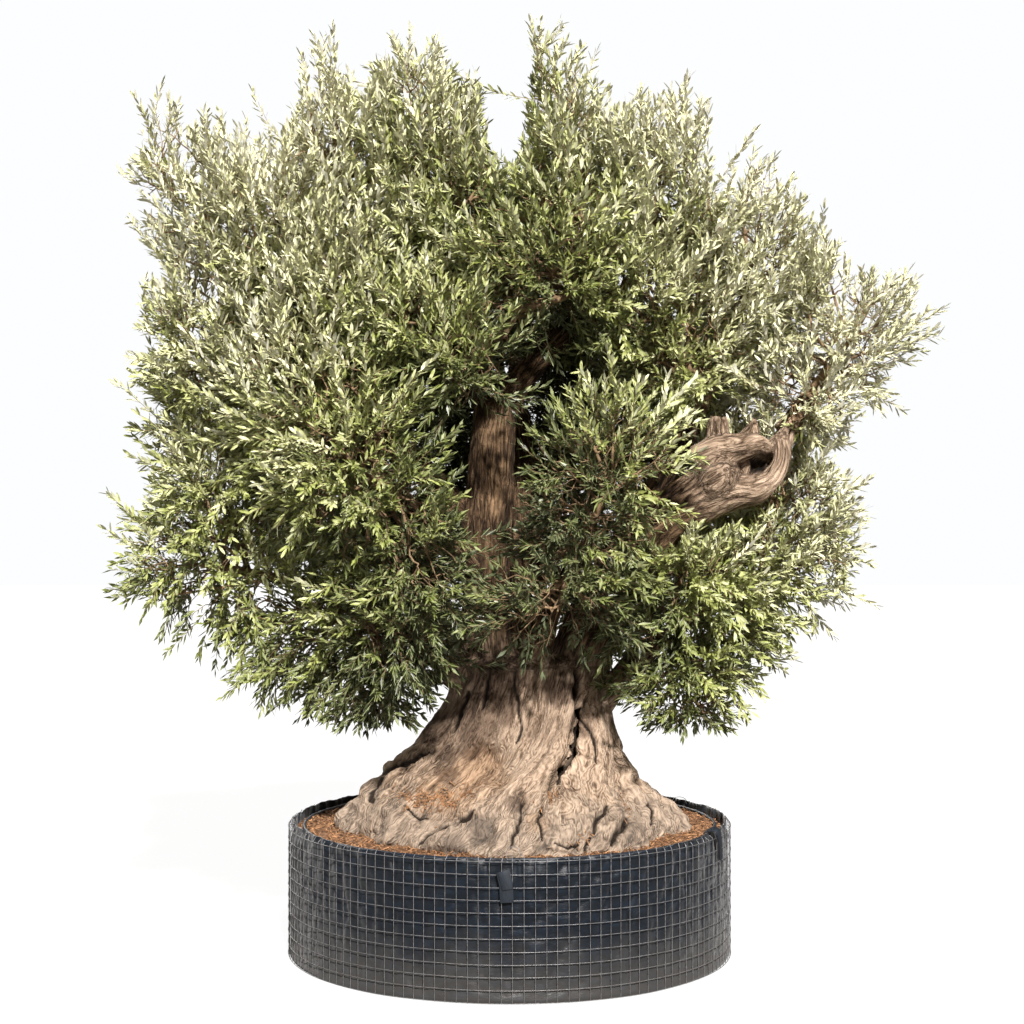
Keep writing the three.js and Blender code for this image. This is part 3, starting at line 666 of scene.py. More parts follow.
def trunk_body():
    """The trunk as a closed mesh of triangles."""
    rows = 120
    columns = 300
    top = np.arange(columns) * 360.0 / columns
    grid_top, grid_share = np.meshgrid(top, np.linspace(TRUNK["buried"], 1, rows))
    points = trunk_surface(grid_top, grid_share).reshape(-1, 3)
    ends = np.array([
        (trunk_middle(0.0), 0, SOIL["top"] + TRUNK["buried"] * TRUNK["height"]),
        (trunk_middle(1.0), 0, SOIL["top"] + TRUNK["height"] + TRUNK["dome"])])
    return closed_grid(points, rows, columns, ends)


def bough_radius(radii, t):
    return radii[0] + (radii[1] - radii[0]) * np.sqrt(t)


def limb_body(points, girth):
    """A closed tube of triangles along a line of points."""
    sides = 20
    body, _ = tube(points, girth, sides)
    tip_way = unit(np.gradient(points, axis=0))[-1]
    ends = np.array([points[0], points[-1] + tip_way * girth[-1] * 0.35])
    return closed_grid(body, len(points), sides, ends)


def bough_body(name):
    """A limb swollen and bent a little, as old wood is."""
    _, radii, path = BOUGHS[name]
    share = np.linspace(BOUGH_STARTS.get(name, 0), 1, max(11, int(curve_length(path) / 40)))
    points = bezier(path, share)
    seed = sum(name.encode())
    points = points + drift(points, 260, seed, 1) * (60 * np.sin(share * math.pi))[:, None]
    return limb_body(points, bough_radius(radii, share) * (0.93 + 0.16 * cloud(points / 140, seed + 7)))


def gnarl_line(rows):
    """The places and radii along a gnarled limb, rounded between its rows of (place, radius)."""
    rows = np.array(rows, float)
    share = np.linspace(0, len(rows) - 1, 6 * len(rows))
    at = np.arange(len(rows))
    rounded = np.stack([np.interp(share, at, rows[:, i]) for i in range(4)], axis=-1)
    for _ in range(4):
        rounded[1:-1] = (rounded[:-2] + 2 * rounded[1:-1] + rounded[2:]) / 4
    return rounded[:, :3], rounded[:, 3]


def ball_body(middle, size):
    """A closed ball of triangles."""
    rows = 24
    columns = 32
    rise = np.linspace(-math.pi / 2 + 0.02, math.pi / 2 - 0.02, rows)
    turns, rises = np.meshgrid(ring_angles(columns), rise)
    points = on_ring(turns, np.cos(rises), np.sin(rises)).reshape(-1, 3)
    points, faces = closed_grid(points, rows, columns, [(0, 0, -1), (0, 0, 1)])
    return points * size + middle, faces


def apply_modifiers(piece):
    """Puts the result of a piece's modifiers into its mesh."""
    bpy.ops.object.select_all(action="DESELECT")
    piece.select_set(True)
    bpy.context.view_layer.objects.active = piece
    for modifier in list(piece.modifiers):
        bpy.ops.object.modifier_apply(modifier=modifier.name)
    piece.select_set(False)


def wood_object(name, voxel, low, high):
    """All the wood merged by a voxel remesh, with only the part between two heights kept."""
    bodies = [trunk_body()]
    bodies += [bough_body(bough) for bough in BOUGHS]
    bodies += [limb_body(*gnarl_line(rows)) for rows in GNARLS]
    bodies += [ball_body(middle, size) for middle, size in SWELLINGS]
    piece = mesh_object(name, *gathered(bodies))
    remesh = piece.modifiers.new("merge", "REMESH")
    remesh.mode = "VOXEL"
    remesh.voxel_size = voxel
    remesh.use_smooth_shade = True
    soften = piece.modifiers.new("soften", "SMOOTH")
    soften.factor = 0.5
    soften.iterations = 5
    apply_modifiers(piece)
    keep_between(piece, low, high)
    return piece


def keep_between(piece, low, high):
    """Drops the faces of a piece that lie wholly outside a stretch of heights."""
    mesh = piece.data
    points, faces = mesh_arrays(mesh)
    heights = points[:, 2][faces]
    kept = faces[(heights.max(axis=1) >= low) & (heights.min(axis=1) <= high)]
    used = np.unique(kept)
    renumber = np.full(len(points), -1)
    renumber[used] = np.arange(len(used))
    fresh = mesh_object(piece.name + "_part", points[used], renumber[kept])
    piece.data = fresh.data
    bpy.data.objects.remove(fresh)
    bpy.data.meshes.remove(mesh)


def mesh_arrays(mesh):
    """A mesh's points in millimetres and its four-sided faces."""
    points = np.empty(len(mesh.vertices) * 3, dtype=np.float32)
    mesh.vertices.foreach_get("co", points)
    faces = np.empty(len(mesh.loops), dtype=np.int32)
    mesh.loops.foreach_get("vertex_index", faces)
    return points.reshape(-1, 3).astype(float) / MM, faces.reshape(-1, 4)


def vertex_normals(mesh):
    normals = np.empty(len(mesh.vertices) * 3, dtype=np.float32)
    mesh.vertex_normals.foreach_get("vector", normals)
    return normals.reshape(-1, 3).astype(float)


def segment_distance(points, chain):
    """How far points on a plane are from a chain of points, and how far along it the nearest place is."""
    best = np.full(len(points), 1e9)
    along = np.zeros(len(points))
    count = len(chain) - 1
    for i in range(count):
        start = np.array(chain[i], float)
        leg = np.array(chain[i + 1], float) - start
        share = np.clip(((points - start) @ leg) / (leg @ leg), 0, 1)
        far = np.linalg.norm(points - start - share[:, None] * leg, axis=1)
        nearer = far < best
        best = np.where(nearer, far, best)
        along = np.where(nearer, (i + share) / count, along)
    return best, along


def trunk_girth(share):
    """The trunk's half width, near enough to lay out cracks and knots."""
    return TRUNK["waist"][0] + 0.8 * TRUNK["flare"][0] * trunk_flare(share)


def seen_from_front(points):
    """Places across and up as they look from the front at eye height, on the plane through the middle."""
    nearer = EYE["far"] / (EYE["far"] + points[:, 1])
    return np.stack([points[:, 0] * nearer, EYE["up"] + (points[:, 2] - EYE["up"]) * nearer], axis=-1)


def in_front(points):
    """1 on the trunk's front and 0 on its back, with a soft change between."""
    return smoothstep(60, -60, points[:, 1])


def pinched(along, least, run):
    """How wide a stroke is on its way: its least at both ends, and full after a run."""
    return least + (1 - least) * smoothstep(0, run, along) * smoothstep(1, 1 - run, along)


def add_stroke(bark, far, pinch, width, rise, least, shown=1):
    """The bark's height and painted shade with one stroke more, and lips beside it and painted shade in its
    floor if it is a narrow cut.
    """
    height, recess_shade = bark
    stroke = bump(far / (width * pinch)) * shown
    height = height + rise * pinch * stroke
    if rise < 0 and width < NARROW:
        height = height - 0.3 * rise * bump((far - 2.2 * width) / width) * shown
        recess_shade = np.maximum(recess_shade, stroke * smoothstep(least, 0.5, pinch))
    return height, recess_shade


def front_strokes(points, bark):
    """The clefts and swellings of the trunk's front added to its bark."""
    seen = seen_from_front(points)
    wander = np.stack([cloud(points / 48 + 3.3, 51), cloud(points / 48 + 9.1, 52)], axis=-1) - 0.5
    seen = seen + 26 * wander
    front = in_front(points)
    for chain, width, rise in FRONT_STROKES:
        far, along = segment_distance(seen, chain)
        pinch = pinched(along, 0.25 if width < 20 else 0.75, 0.16)
        bark = add_stroke(bark, far, pinch, width, rise, 0.25, front)
    return bark


def trunk_cracks(points, top, up, bark):
    """The long cracks between the flutes at the back added to the bark."""
    for chain, width, depth in CRACKS:
        middle = sum(at for at, _ in chain) / len(chain)
        across = np.radians(turns_apart(top, middle)) * CRACK_GIRTH
        across = across + 14 * (cloud(points / 55, 51) - 0.5)
        legs = [(math.radians(turns_apart(at, middle)) * CRACK_GIRTH, level * TRUNK["height"])
                for at, level in chain]
        far, along = segment_distance(np.stack([across, up], axis=-1), legs)
        bark = add_stroke(bark, far, pinched(along, 0.2, 0.2), width, -depth, 0.2)
    return bark


def trunk_knots(points, top, share, bark):
    """The hollows of lost limbs added to the bark, each in a raised ring, with painted shade in it."""
    height, recess_shade = bark
    girth = trunk_girth(share)
    for at, level, width, depth in KNOTS:
        across = np.radians(turns_apart(top, at)) * girth
        far = np.hypot(across, (share - level) * TRUNK["height"] * 0.8)
        far = far + 30 * (cloud(points / 34, 61) - 0.5)
        cut = bump(far / width)
        height = height - depth * cut + 0.4 * depth * bump((far - 1.5 * width) / (0.5 * width))
        recess_shade = np.maximum(recess_shade, cut * 0.75)
    return height, recess_shade


def patches_on_front(points, patches):
    """How much each point lies in soft patches on the trunk's front."""
    seen = seen_from_front(points)
    share = np.zeros(len(points))
    for middle, size in patches:
        far = np.linalg.norm(seen - middle, axis=1) / size
        share = np.maximum(share, smoothstep(1.15, 0.55, far + 0.9 * (cloud(points / 40, 57) - 0.5)))
    return share * in_front(points)


def trunk_relief(points):
    """How far the trunk's bark stands out at each point, its tone, the painted shade in its recesses and its
    flow.
    """
    top, share = trunk_flow(points)
    up = share * TRUNK["height"]
    foot = trunk_flare(np.clip(share, 0, 2))
    flow = on_ring(np.radians(top), CRACK_GIRTH, up * 0.2)
    flow = warp(warp(flow, 210, 46, 3), 60, 13, 5)
    broad = cords(flow / 92, 21) - 0.5
    middle = cords(flow / 40 + 7.1, 31) - 0.5
    fine = (cords(flow / 17, 41) - 0.5) * (1 - foot) + (cords(flow / 9.5, 43) - 0.5) * foot
    lumps = cords(warp(points, 210, 60, 13) / (105, 105, 90), 15) - 0.5
    bark = (13 * broad + 6 * middle + 4 * fine + 30 * lumps * foot, np.zeros(len(points)))
    bark = trunk_cracks(points, top, up, bark)
    bark = front_strokes(points, bark)
    height, recess_shade = trunk_knots(points, top, share, bark)
    tone = np.clip(0.55 + 0.5 * fine + 0.4 * middle + 0.25 * broad + 0.35 * lumps * foot, 0, 1)
    return height, tone, recess_shade, flow, foot


def limb_axes():
    """Every limb as places along it, with the directions and radii there and the way along it."""
    lines = []
    for name, (_, radii, path) in BOUGHS.items():
        share = np.linspace(BOUGH_STARTS.get(name, 0), 1, 40)
        lines.append((bezier(path, share), bough_radius(radii, share), sum(name.encode())))
    lines += [(*gnarl_line(rows), 500 + 7 * i) for i, rows in enumerate(GNARLS)]
    for line, radii, seed in lines:
        ways, normals, binormals = carried_frames(unit(np.gradient(line, axis=0)))
        steps = np.linalg.norm(np.diff(line, axis=0), axis=1)
        yield line, ways, normals, binormals, radii, np.concatenate([[0], np.cumsum(steps)]), seed


def limb_coordinates(points, line, ways, normals, binormals, along):
    """For each point a limb's nearest step, how far off it is, and the place across and along the limb."""
    far = np.linalg.norm(points[:, None] - line[None], axis=2)
    at = far.argmin(axis=1)
    away = points - line[at]
    local = np.stack([
        (away * normals[at]).sum(axis=1), (away * binormals[at]).sum(axis=1),
        (along[at] + (away * ways[at]).sum(axis=1)) * 0.15], axis=-1)
    return at, far[np.arange(len(points)), at], local


def bough_relief(points):
    """The same for the boughs: fissures that run along each limb, blended where limbs meet."""
    height = np.zeros(len(points))
    tone = np.zeros(len(points))
    total = np.full(len(points), 1e-6)
    flow = np.zeros((len(points), 3))
    best = np.zeros(len(points))
    for line, ways, normals, binormals, radii, along, seed in limb_axes():
        low = line.min(axis=0) - LIMB_REACH
        high = line.max(axis=0) + LIMB_REACH
        near = np.flatnonzero(((points > low) & (points < high)).all(axis=1))
        if not len(near):
            continue
        at, far, local = limb_coordinates(points[near], line, ways, normals, binormals, along)
        local = warp(local, 80, 24, seed)
        weight = np.exp(-3.5 * np.clip(far / radii[at] - 0.9, 0, 9))
        broad = cords(local / 52, seed + 3) - 0.5
        fine = cords(local / 20, seed + 5) - 0.5
        height[near] += weight * (11 * broad + 6 * fine)
        tone[near] += weight * np.clip(0.5 + 0.8 * fine + 0.6 * broad, 0, 1)
        total[near] += weight
        nearer = weight > best[near]
        flow[near[nearer]] = local[nearer]
        best[near[nearer]] = weight[nearer]
    return height / total, tone / total, flow


def burl_share(points):
    """How far each point belongs to the burl, from 0 to 1."""
    share = np.zeros(len(points))
    for middle, reach in BURL_ROOM:
        far = np.linalg.norm(points - middle, axis=1) / reach
        share = np.maximum(share, 1 - smoothstep(0.95, 1.7, far))
    return share


def open_hollows(points, recess_shade):
    """Points inside a hollow go to its far side, with painted shade on them."""
    points = points.copy()
    for middle, size, axis, side in HOLLOWS:
        rough = 1 + 0.5 * (cloud(points / 25, 71) - 0.5)
        reach = (points - middle) / size * rough[:, None]
        flat = 1 - (np.delete(reach, axis, axis=1) ** 2).sum(axis=1)
        wall = middle[axis] + side * size[axis] * np.sqrt(np.clip(flat, 0, 1))
        inside = (flat > 0) & ((wall - points[:, axis]) * side > 0) & (np.abs(reach[:, axis]) < 2)
        recess_shade = np.where(inside, np.maximum(recess_shade, smoothstep(0.1, 0.8, flat)), recess_shade)
        points[inside, axis] = wall[inside]
    return points, recess_shade


def opening_shade(points):
    """Painted shade for the dark inside of the burl's opening, behind its curled limbs."""
    return 0.9 * (1 - smoothstep(0.7, 1.1, within(BURL_OPENING, points)))


def dress_wood(piece):
    """Moves a piece's surface out and in as its bark does, and stores what its material reads."""
    points, _ = mesh_arrays(piece.data)
    normals = vertex_normals(piece.data)
    low_height, low_tone, recess_shade, low_flow, foot = trunk_relief(points)
    high_height, high_tone, high_flow = bough_relief(points)
    burl = burl_share(points)
    high_height = high_height * (1 - 0.45 * burl)
    blend = smoothstep(*BARK_BLEND, points[:, 2])
    height = low_height * (1 - blend) + high_height * blend
    tone = low_tone * (1 - blend) + high_tone * blend
    flow = np.where((blend > 0.5)[:, None], high_flow, low_flow)
    # Painted shade: the recesses' shade fades out up the boughs, and the burl's opening is painted dark.
    recess_shade = np.maximum(recess_shade * (1 - blend), opening_shade(points))
    points = points + normals * height[:, None]
    points[:, 2] = np.maximum(points[:, 2], SOIL["top"] - BURIED)
    points, recess_shade = open_hollows(points, recess_shade)
    piece.data.vertices.foreach_set("co", (points * MM).astype(np.float32).ravel())
    piece.data.update()
    values = {
        "tone": tone,
        "recess_shade": recess_shade,
        "burl": burl,
        "flow": flow * MM,
        "foot": foot * (1 - blend),
        "dust": patches_on_front(points, DUSTED),
        "weather_and_shade": patches_on_front(points, WEATHERED_AND_SHADED),
    }
    for key, numbers in values.items():
        give_values(piece, key, numbers)


# ---------------------------------------------------------------- stems and twigs of the masses
class Mass:
    """One mass of foliage with its stem."""

    def __init__(self, name, root, direction, thick):
        self.name = name
        self.middle, self.size, self.bough, self.lift = MASSES[name]
        self.middle = np.array(self.middle, float)
        self.size = np.array(self.size, float)
        self.root = root
        self.thick = thick
        turn = root + direction * 0.35 * np.linalg.norm(self.middle - root)
        self.stem = (root, turn, self.middle)


def rooted_masses():
    """The masses in their table's order, their stems standing in a ring on the tip that feeds them."""
    made = {}
    for bough, (_, radii, path) in BOUGHS.items():
        point, tangent, normal, binormal = frame_at_tip(path)
        fed = [name for name, row in MASSES.items() if row[2] == bough]
        ways = {name: unit(np.array(MASSES[name][0], float) - point) for name in fed}
        mean = sum(ways.values()) / max(1, len(fed))
        side = {
            name: math.atan2((way - mean).dot(binormal), (way - mean).dot(normal))
            for name, way in ways.items()}
        fed.sort(key=side.get)
        shared = len(fed) > 1
        thick = min(STEM["radius"], radii[1] / (2.3 if shared else 1.3))
        out = radii[1] - thick - 1 if shared else 0
        for i, name in enumerate(fed):
            angle = side[fed[0]] + i * 2 * math.pi / len(fed) if shared else 0
            ring = normal * math.cos(angle) + binormal * math.sin(angle)
            made[name] = Mass(name, point + tangent * TIP_GAP + ring * out, tangent, thick)
    return [made[name] for name in MASSES]


def within(mass_row, points):
    """How far out of a mass each point is: 1 is on its border."""
    return np.linalg.norm((points - mass_row[0]) / mass_row[1], axis=-1)


def in_own_space(name, points):
    """Whether points lie in a mass's own space, away from the other masses."""
    own = within(MASSES[name], points)
    inside = own < SPACE_EDGE
    for other, row in MASSES.items():
        if other != name:
            inside &= own + SPACE_MARGIN < within(row, points)
    return inside


def limb_balls(masses):
    """Limbs and stems as chains of balls that twigs and leaves keep clear of: places, radii and owners."""
    rows = []
    for name, (_, radii, path) in BOUGHS.items():
        share = np.linspace(0, 1, math.ceil(curve_length(path) / BALL_STEP) + 1)
        girth = bough_radius(radii, share)
        rows += [(point, radius, name) for point, radius in zip(bezier(path, share), girth)]
    for mass in masses:
        share = np.linspace(0, 1, math.ceil(curve_length(mass.stem) / BALL_STEP) + 1)
        girth = mass.thick + (STEM["tip"] - mass.thick) * share
        rows += [(point, radius, mass.name) for point, radius in zip(bezier(mass.stem, share), girth)]
    rows += [(middle, reach, "burl") for middle, reach in BURL_ROOM]
    for height in range(SOIL["top"], SOIL["top"] + TRUNK["height"] + TRUNK["dome"], 50):
        share = min(1, (height - SOIL["top"]) / TRUNK["height"])
        girth = TRUNK["waist"][0] + TRUNK["flare"][0] * trunk_flare(share)
        rows.append(((trunk_middle(share), 0, height), girth, "trunk"))
    return tuple(np.array(column) for column in zip(*rows))


def touches_limb(balls, owner, points, radius, clearance=TWIG_CLEARANCE):
    """Whether each point comes too near a limb that isn't its owner's."""
    places, radii, owners = balls
    others = owners != owner
    far = np.linalg.norm(points[:, None] - places[others][None], axis=2)
    return (far < radii[others] + radius + clearance).any(axis=1)


def spread_ways(count, phase, lift):
    """Directions spread evenly over a ball, turned by a phase and shifted up by a lift."""
    k = np.arange(count)
    rise = np.maximum(-1, 1 - 2 * (k + 0.5 - 0.25 * lift) / count)
    return on_ring(phase + k * GOLDEN_ANGLE, np.sqrt(1 - rise * rise), rise)


def main_twigs(mass, balls, draw):
    """Twigs from the stem towards points inside the mass, the longest that fit."""
    twigs = []
    for way in spread_ways(TWIG["count"], next(draw) * 2 * math.pi, mass.lift):
        low = TWIG["low"] + (TWIG["high"] - TWIG["low"]) * (0.5 + 0.5 * way[2])
        start = bezier(mass.stem, low)[0]
        for reach in TWIG["reaches"]:
            end = mass.middle + way * mass.size * reach
            middle = (start + end) / 2
            middle[2] -= TWIG["sag"] * mass.lift * np.linalg.norm(end - start)
            tested = bezier((start, middle, end), (0.4, 0.6, 0.8, 1))
            fits = in_own_space(mass.name, tested).all()
            if fits and not touches_limb(balls, mass.name, tested, TWIG["radius"]).any():
                twigs.append((low, (start, middle, end)))
                break
    return twigs


# ---------------------------------------------------------------- finer growth
class Growth:
    """Branching points: each one's place, the point before it, and how far it is from the root."""

    def __init__(self, root, room):
        self.places = np.full((room, 3), 1e9)
        self.before = np.full(room, -1)
        self.far = np.zeros(room)
        self.count = 1
        self.places[0] = root

    def add(self, place_of, before):
        i = self.count
        self.places[i] = place_of
        self.before[i] = before
        self.far[i] = self.far[before] + np.linalg.norm(place_of - self.places[before])
        self.count += 1
        return i

    def chain(self, points, before):
        for point in points:
            before = self.add(point, before)
        return before

    def nearest(self, target, first):
        """The point from which a twig to the target is shortest, counting some of the way from the root."""
        stretch = slice(first, self.count)
        cost = np.linalg.norm(self.places[stretch] - target, axis=1) + SHOOT["detour"] * self.far[stretch]
        return first + int(cost.argmin())


def even_draws(count, phase):
    """Three numbers from 0 to 1 for each of a count of points, spread evenly together."""
    k = np.arange(count)[:, None]
    return (k * (0.8191725134, 0.6710436067, 0.5497004779) + phase) % 1


def crown_strengths(points):
    """How strongly each lobe of the crown holds each point: 1 on its border."""
    return [np.exp(SHOOT["steep"] * (1 - within(row[1:], points) ** 2)) for row in LOBES]


def crown_depth(points):
    """How deep in the crown points are: 1 on the border of a lone lobe, and more further in."""
    return sum(crown_strengths(points))


def outward_ways(points):
    """The ways that lead out of the crown soonest."""
    total = np.zeros(points.shape)
    for strength, (_, middle, size) in zip(crown_strengths(points), LOBES):
        total += strength[:, None] * (points - middle) / np.square(size)
    return unit(total)


def nearest_lobe(points):
    return np.argmin([within(row[1:], points) for row in LOBES], axis=0)


def in_clearing(points):
    ragged = warp(points, 120, 55, 95)
    return np.any([within(row, ragged) < 1 for row in CLEARINGS], axis=0)


def lobe_points(i, density, phase):
    """Points spread through one lobe of the crown, as far as no other lobe is nearer."""
    _, middle, size = LOBES[i]
    draws = even_draws(int(density * (np.prod(size) / TYPICAL_SIZE) ** (2 / 3)), phase)
    rise = 1 - 2 * draws[:, 0]
    ways = on_ring(2 * math.pi * draws[:, 1], np.sqrt(1 - rise * rise), rise)
    out = SHOOT["past"] * draws[:, 2] ** (1 / SHOOT["inward"])
    points = ways * size * out[:, None] + middle
    return points[nearest_lobe(points) == i]


def in_spray(points):
    """Whether points lie in the sprays, and not in the gaps that open between them."""
    high = smoothstep(*CREST, points[:, 2])
    behind = smoothstep(*BEHIND, points[:, 1])
    aside = smoothstep(*ASIDE, np.abs(points[:, 0]))
    filled = SHOOT["filled"] - SHOOT["open"] * high - SHOOT["airy"] * aside
    filled += SHOOT["closed"] * behind * (1 - high)
    return cloud(points / SHOOT["hole"], 93) > 0.5 - filled


def shoot_starts(mass, balls, density, phase):
    """Where shoots start in and round a mass, the innermost first."""
    points = np.concatenate([
        lobe_points(i, density, phase) for i, row in enumerate(LOBES) if row[0] == mass.name])
    depth = crown_depth(points)
    keep = depth > SHOOT["edge"] + SHOOT["ragged"] * (cloud(points / 130, 91) - 0.5)
    keep &= (depth < SHOOT["hidden"]) | (lattice(np.round(points).astype(np.int64), 5) < 0.3)
    keep &= in_spray(points) & ~in_clearing(points)
    keep &= ~touches_limb(balls, mass.name, points, 0, SHOOT["clear"])
    points = points[keep]
    return points[np.argsort(np.linalg.norm(points - mass.middle, axis=1))]


def grow_mass(mass, balls, seed, density):
    """The branching of one mass, and its shoots: where each starts and the way it grew there."""
    draw = seeded(seed)
    twigs = main_twigs(mass, balls, draw)
    starts = shoot_starts(mass, balls, density, next(draw))
    growth = Growth(mass.root, 3 * len(starts) + 80)
    stem_share = np.linspace(0, 1, 13)[1:]
    growth.chain(bezier(mass.stem, stem_share), 0)
    for low, path in twigs:
        before = 1 + int(np.abs(stem_share - low).argmin())
        growth.chain(bezier(path, np.linspace(0, 1, 7)[1:]), before)
    rng = np.random.default_rng(seed)
    shoots = []
    first = 5
    for start in starts:
        before = growth.nearest(start, first)
        base = growth.places[before].copy()
        reach = np.linalg.norm(start - base)
        middle = (base + start) / 2 + rng.normal(0, 0.09, 3) * reach
        middle[2] -= 0.06 * mass.lift * reach
        tip = growth.chain((middle, start), before)
        shoots.append((tip, unit(start - middle)))
    return growth, shoots


def fitted_lengths(mass, balls, ends, aim, rng, box):
    """Whether each shoot fits once it has been cut back far enough, and how long it is then."""
    crest = 1 + (SHOOT["crest"] - 1) * min(1, max(0, mass.lift - 0.5) * 2) * rng.uniform(0, 1, len(ends))
    lengths = rng.uniform(SHOOT["short"], SHOOT["long"], len(ends)) * crest
    rim = SHOOT["rim"] * 2 ** (SHOOT["notched"] * (cloud(ends / 105, 77) - 0.5))
    rim = rim * rng.uniform(0.8, 1.5, len(ends))
    for _ in range(SHOOT["tries"]):
        tips = ends + aim * lengths[:, None]
        fits = ~touches_limb(balls, mass.name, tips, 0, SHOOT["clear"]) & ~in_clearing(tips)
        fits &= crown_depth(tips) > rim
        fits &= ((tips > box[0]) & (tips < box[1])).all(axis=1)
        lengths = np.where(fits, lengths, lengths * SHOOT["cut"])
    return fits, lengths


def shoot_curves(mass, balls, growth, shoots, rng, box):
    """The shoots that fit: start, turning point, tip, length, and a share of painted light from how far out
    in the crown each one is.
    """
    ends = np.array([growth.places[tip] for tip, _ in shoots])
    grown = np.array([way for _, way in shoots])
    outward = outward_ways(ends)
    aim = 0.45 * grown + 0.8 * outward + rng.normal(0, 0.3, ends.shape)
    aim[:, 2] += 0.8 * mass.lift + 0.06
    aim = unit(aim)
    leave = unit(grown + aim)
    fits, lengths = fitted_lengths(mass, balls, ends, aim, rng, box)
    ends, aim, leave, outward = (values[fits] for values in (ends, aim, leave, outward))
    lengths = lengths[fits, None]
    turn = ends + leave * lengths * 0.45
    tips = ends + aim * lengths
    tips[:, 2] -= 0.10 * lengths[:, 0] * (0.6 - min(1, mass.lift))
    # Painted light and shade: shoots far out and on the crown's upper side get paler tints and deep ones
    # darker; the chance part is the leaves' own tone.
    deep = np.clip(crown_depth(tips), 0, 6) / 6
    painted_light_and_tone = 0.4 * (1 - deep) + 0.25 * (outward[:, 2] * 0.5 + 0.5) + 0.22 * rng.uniform(0, 1, len(ends))
    return ends, turn, tips, lengths[:, 0], painted_light_and_tone


def pipe_radii(growth, shoots, thick):
    """Twigs as thick as what they carry needs."""
    count = growth.count
    load = np.zeros(count)
    for tip, _ in shoots:
        load[tip] += 1
    for i in range(count - 1, 0, -1):
        load[growth.before[i]] += load[i]
    load = np.maximum(load, 0.6)
    radii = SHOOT["tip"] + 1.25 * (load - 0.5).clip(0.1) ** SHOOT["spread"]
    return np.minimum(radii, thick)


def leaf_stations(curves, gap):
    """The pairs of leaves along shoots: each one's shoot, number, share of the way, place and direction."""
    starts, turns, tips, lengths, _ = curves
    pairs = np.maximum(3, np.round(lengths / gap)).astype(int)
    shoot = np.repeat(np.arange(len(starts)), pairs)
    station = np.arange(len(shoot)) - np.repeat(np.cumsum(pairs) - pairs, pairs)
    share = (station + 0.6) / pairs[shoot]
    t = share[:, None]
    base = starts[shoot] * (1 - t) ** 2 + turns[shoot] * 2 * t * (1 - t) + tips[shoot] * t * t
    tangent = unit((turns[shoot] - starts[shoot]) * (1 - t) + (tips[shoot] - turns[shoot]) * t)
    return shoot, station, share, base, tangent


def leaf_places(curves, rng, size, gap):
    """Where every leaf of a set of shoots stands: base, direction, upper side, length and shoot."""
    shoot, station, share, base, tangent = leaf_stations(curves, gap)
    reference = unit(rng.normal(0, 1, (len(curves[0]), 3)))[shoot]
    normal = unit(np.cross(tangent, reference))
    binormal = np.cross(tangent, normal)
    turn = (station % 2) * math.pi / 2 + station * 0.25 + rng.normal(0, 0.25, len(shoot))
    side = normal * np.cos(turn)[:, None] + binormal * np.sin(turn)[:, None]
    uneven = rng.normal(0, LEAF["uneven"], len(shoot))
    open_angle = np.radians(LEAF["open"] - LEAF["closing"] * share + uneven)
    sides = np.concatenate([side, -side])
    base, tangent, share, shoot = (np.concatenate([row, row]) for row in (base, tangent, share, shoot))
    angle = np.concatenate([open_angle, open_angle])[:, None]
    way = unit(tangent * np.cos(angle) + sides * np.sin(angle) + rng.normal(0, 0.08, sides.shape))
    face = tangent + SKYWARD + rng.normal(0, 0.28, sides.shape)
    up = unit(face - way * (face * way).sum(axis=1, keepdims=True))
    taper = 0.62 + 0.5 * np.sin(np.clip(share * 2.4, 0, math.pi))
    long = size * taper * rng.uniform(0.82, 1.14, len(way))
    return base, way, up, long, shoot


def leaf_mesh(base, way, up, long, wide, full=True):
    """Leaves bent along their length: six points and four faces each, or four points and two faces."""
    across = np.cross(way, up)
    half = (wide * long / 2)[:, None]
    long = long[:, None]
    drop = LEAF["bend"] * long * up
    rows = LEAF["full"] if full else LEAF["few"]
    outline = [(0, 0, 0)]
    for share, width in rows:
        outline += [(share, -1, width), (share, 1, width)]
    outline.append((1, 0, 0))
    points = np.stack([
        base + way * long * share - drop * share * share + across * half * side * width
        for share, side, width in outline], axis=1)
    one = np.array(((0, 2, 1), (1, 2, 4), (1, 4, 3), (3, 4, 5)) if full else ((0, 2, 1), (1, 2, 3)))
    faces = repeated(one, len(base), len(outline))
    uv = np.array([(0.5 + 0.5 * side, share) for share, side, _ in outline], dtype=np.float32)
    return points.reshape(-1, 3), faces, np.tile(uv, (len(base), 1))


# ---------------------------------------------------------------- materials
def set_inputs(tree, node, values):
    """Sets a node's inputs to values, or joins them to other nodes' outputs."""
    for key, value in values.items():
        if isinstance(value, bpy.types.NodeSocket):
            tree.links.new(value, node.inputs[key])
        else:
            node.inputs[key].default_value = value


def add_node(tree, kind, inputs=None, **settings):
    """A node with its settings, and its inputs set to a value or joined to another node's output."""
    made = tree.nodes.new(kind)
    for key, value in settings.items():
        setattr(made, key, value)
    set_inputs(tree, made, inputs or {})
    return made


def colour(rgb):
    """A socket's colour from sRGB numbers in 0 to 255."""
    return tuple((value / 255) ** 2.2 for value in rgb) + (1.0,)


def ramp(tree, factor, stops):
    """A colour ramp through stops of (position, sRGB colour)."""
    made = add_node(tree, "ShaderNodeValToRGB", {"Fac": factor})
    elements = made.color_ramp.elements
    while len(elements) < len(stops):
        elements.new(0.5)
    for element, (position, rgb) in zip(elements, stops):
        element.position = position
        element.color = colour(rgb)
    return made.outputs["Color"]


def shades(rgb, stops):
    """Stops of a ramp in one colour made darker or lighter by shares, warmer as it darkens."""
    rgb = np.array(rgb, float)
    warmth = np.array((0, 0.1, 0.2))
    return tuple((at, tuple(np.minimum(255, rgb * share * min(share, 1) ** warmth))) for at, share in stops)


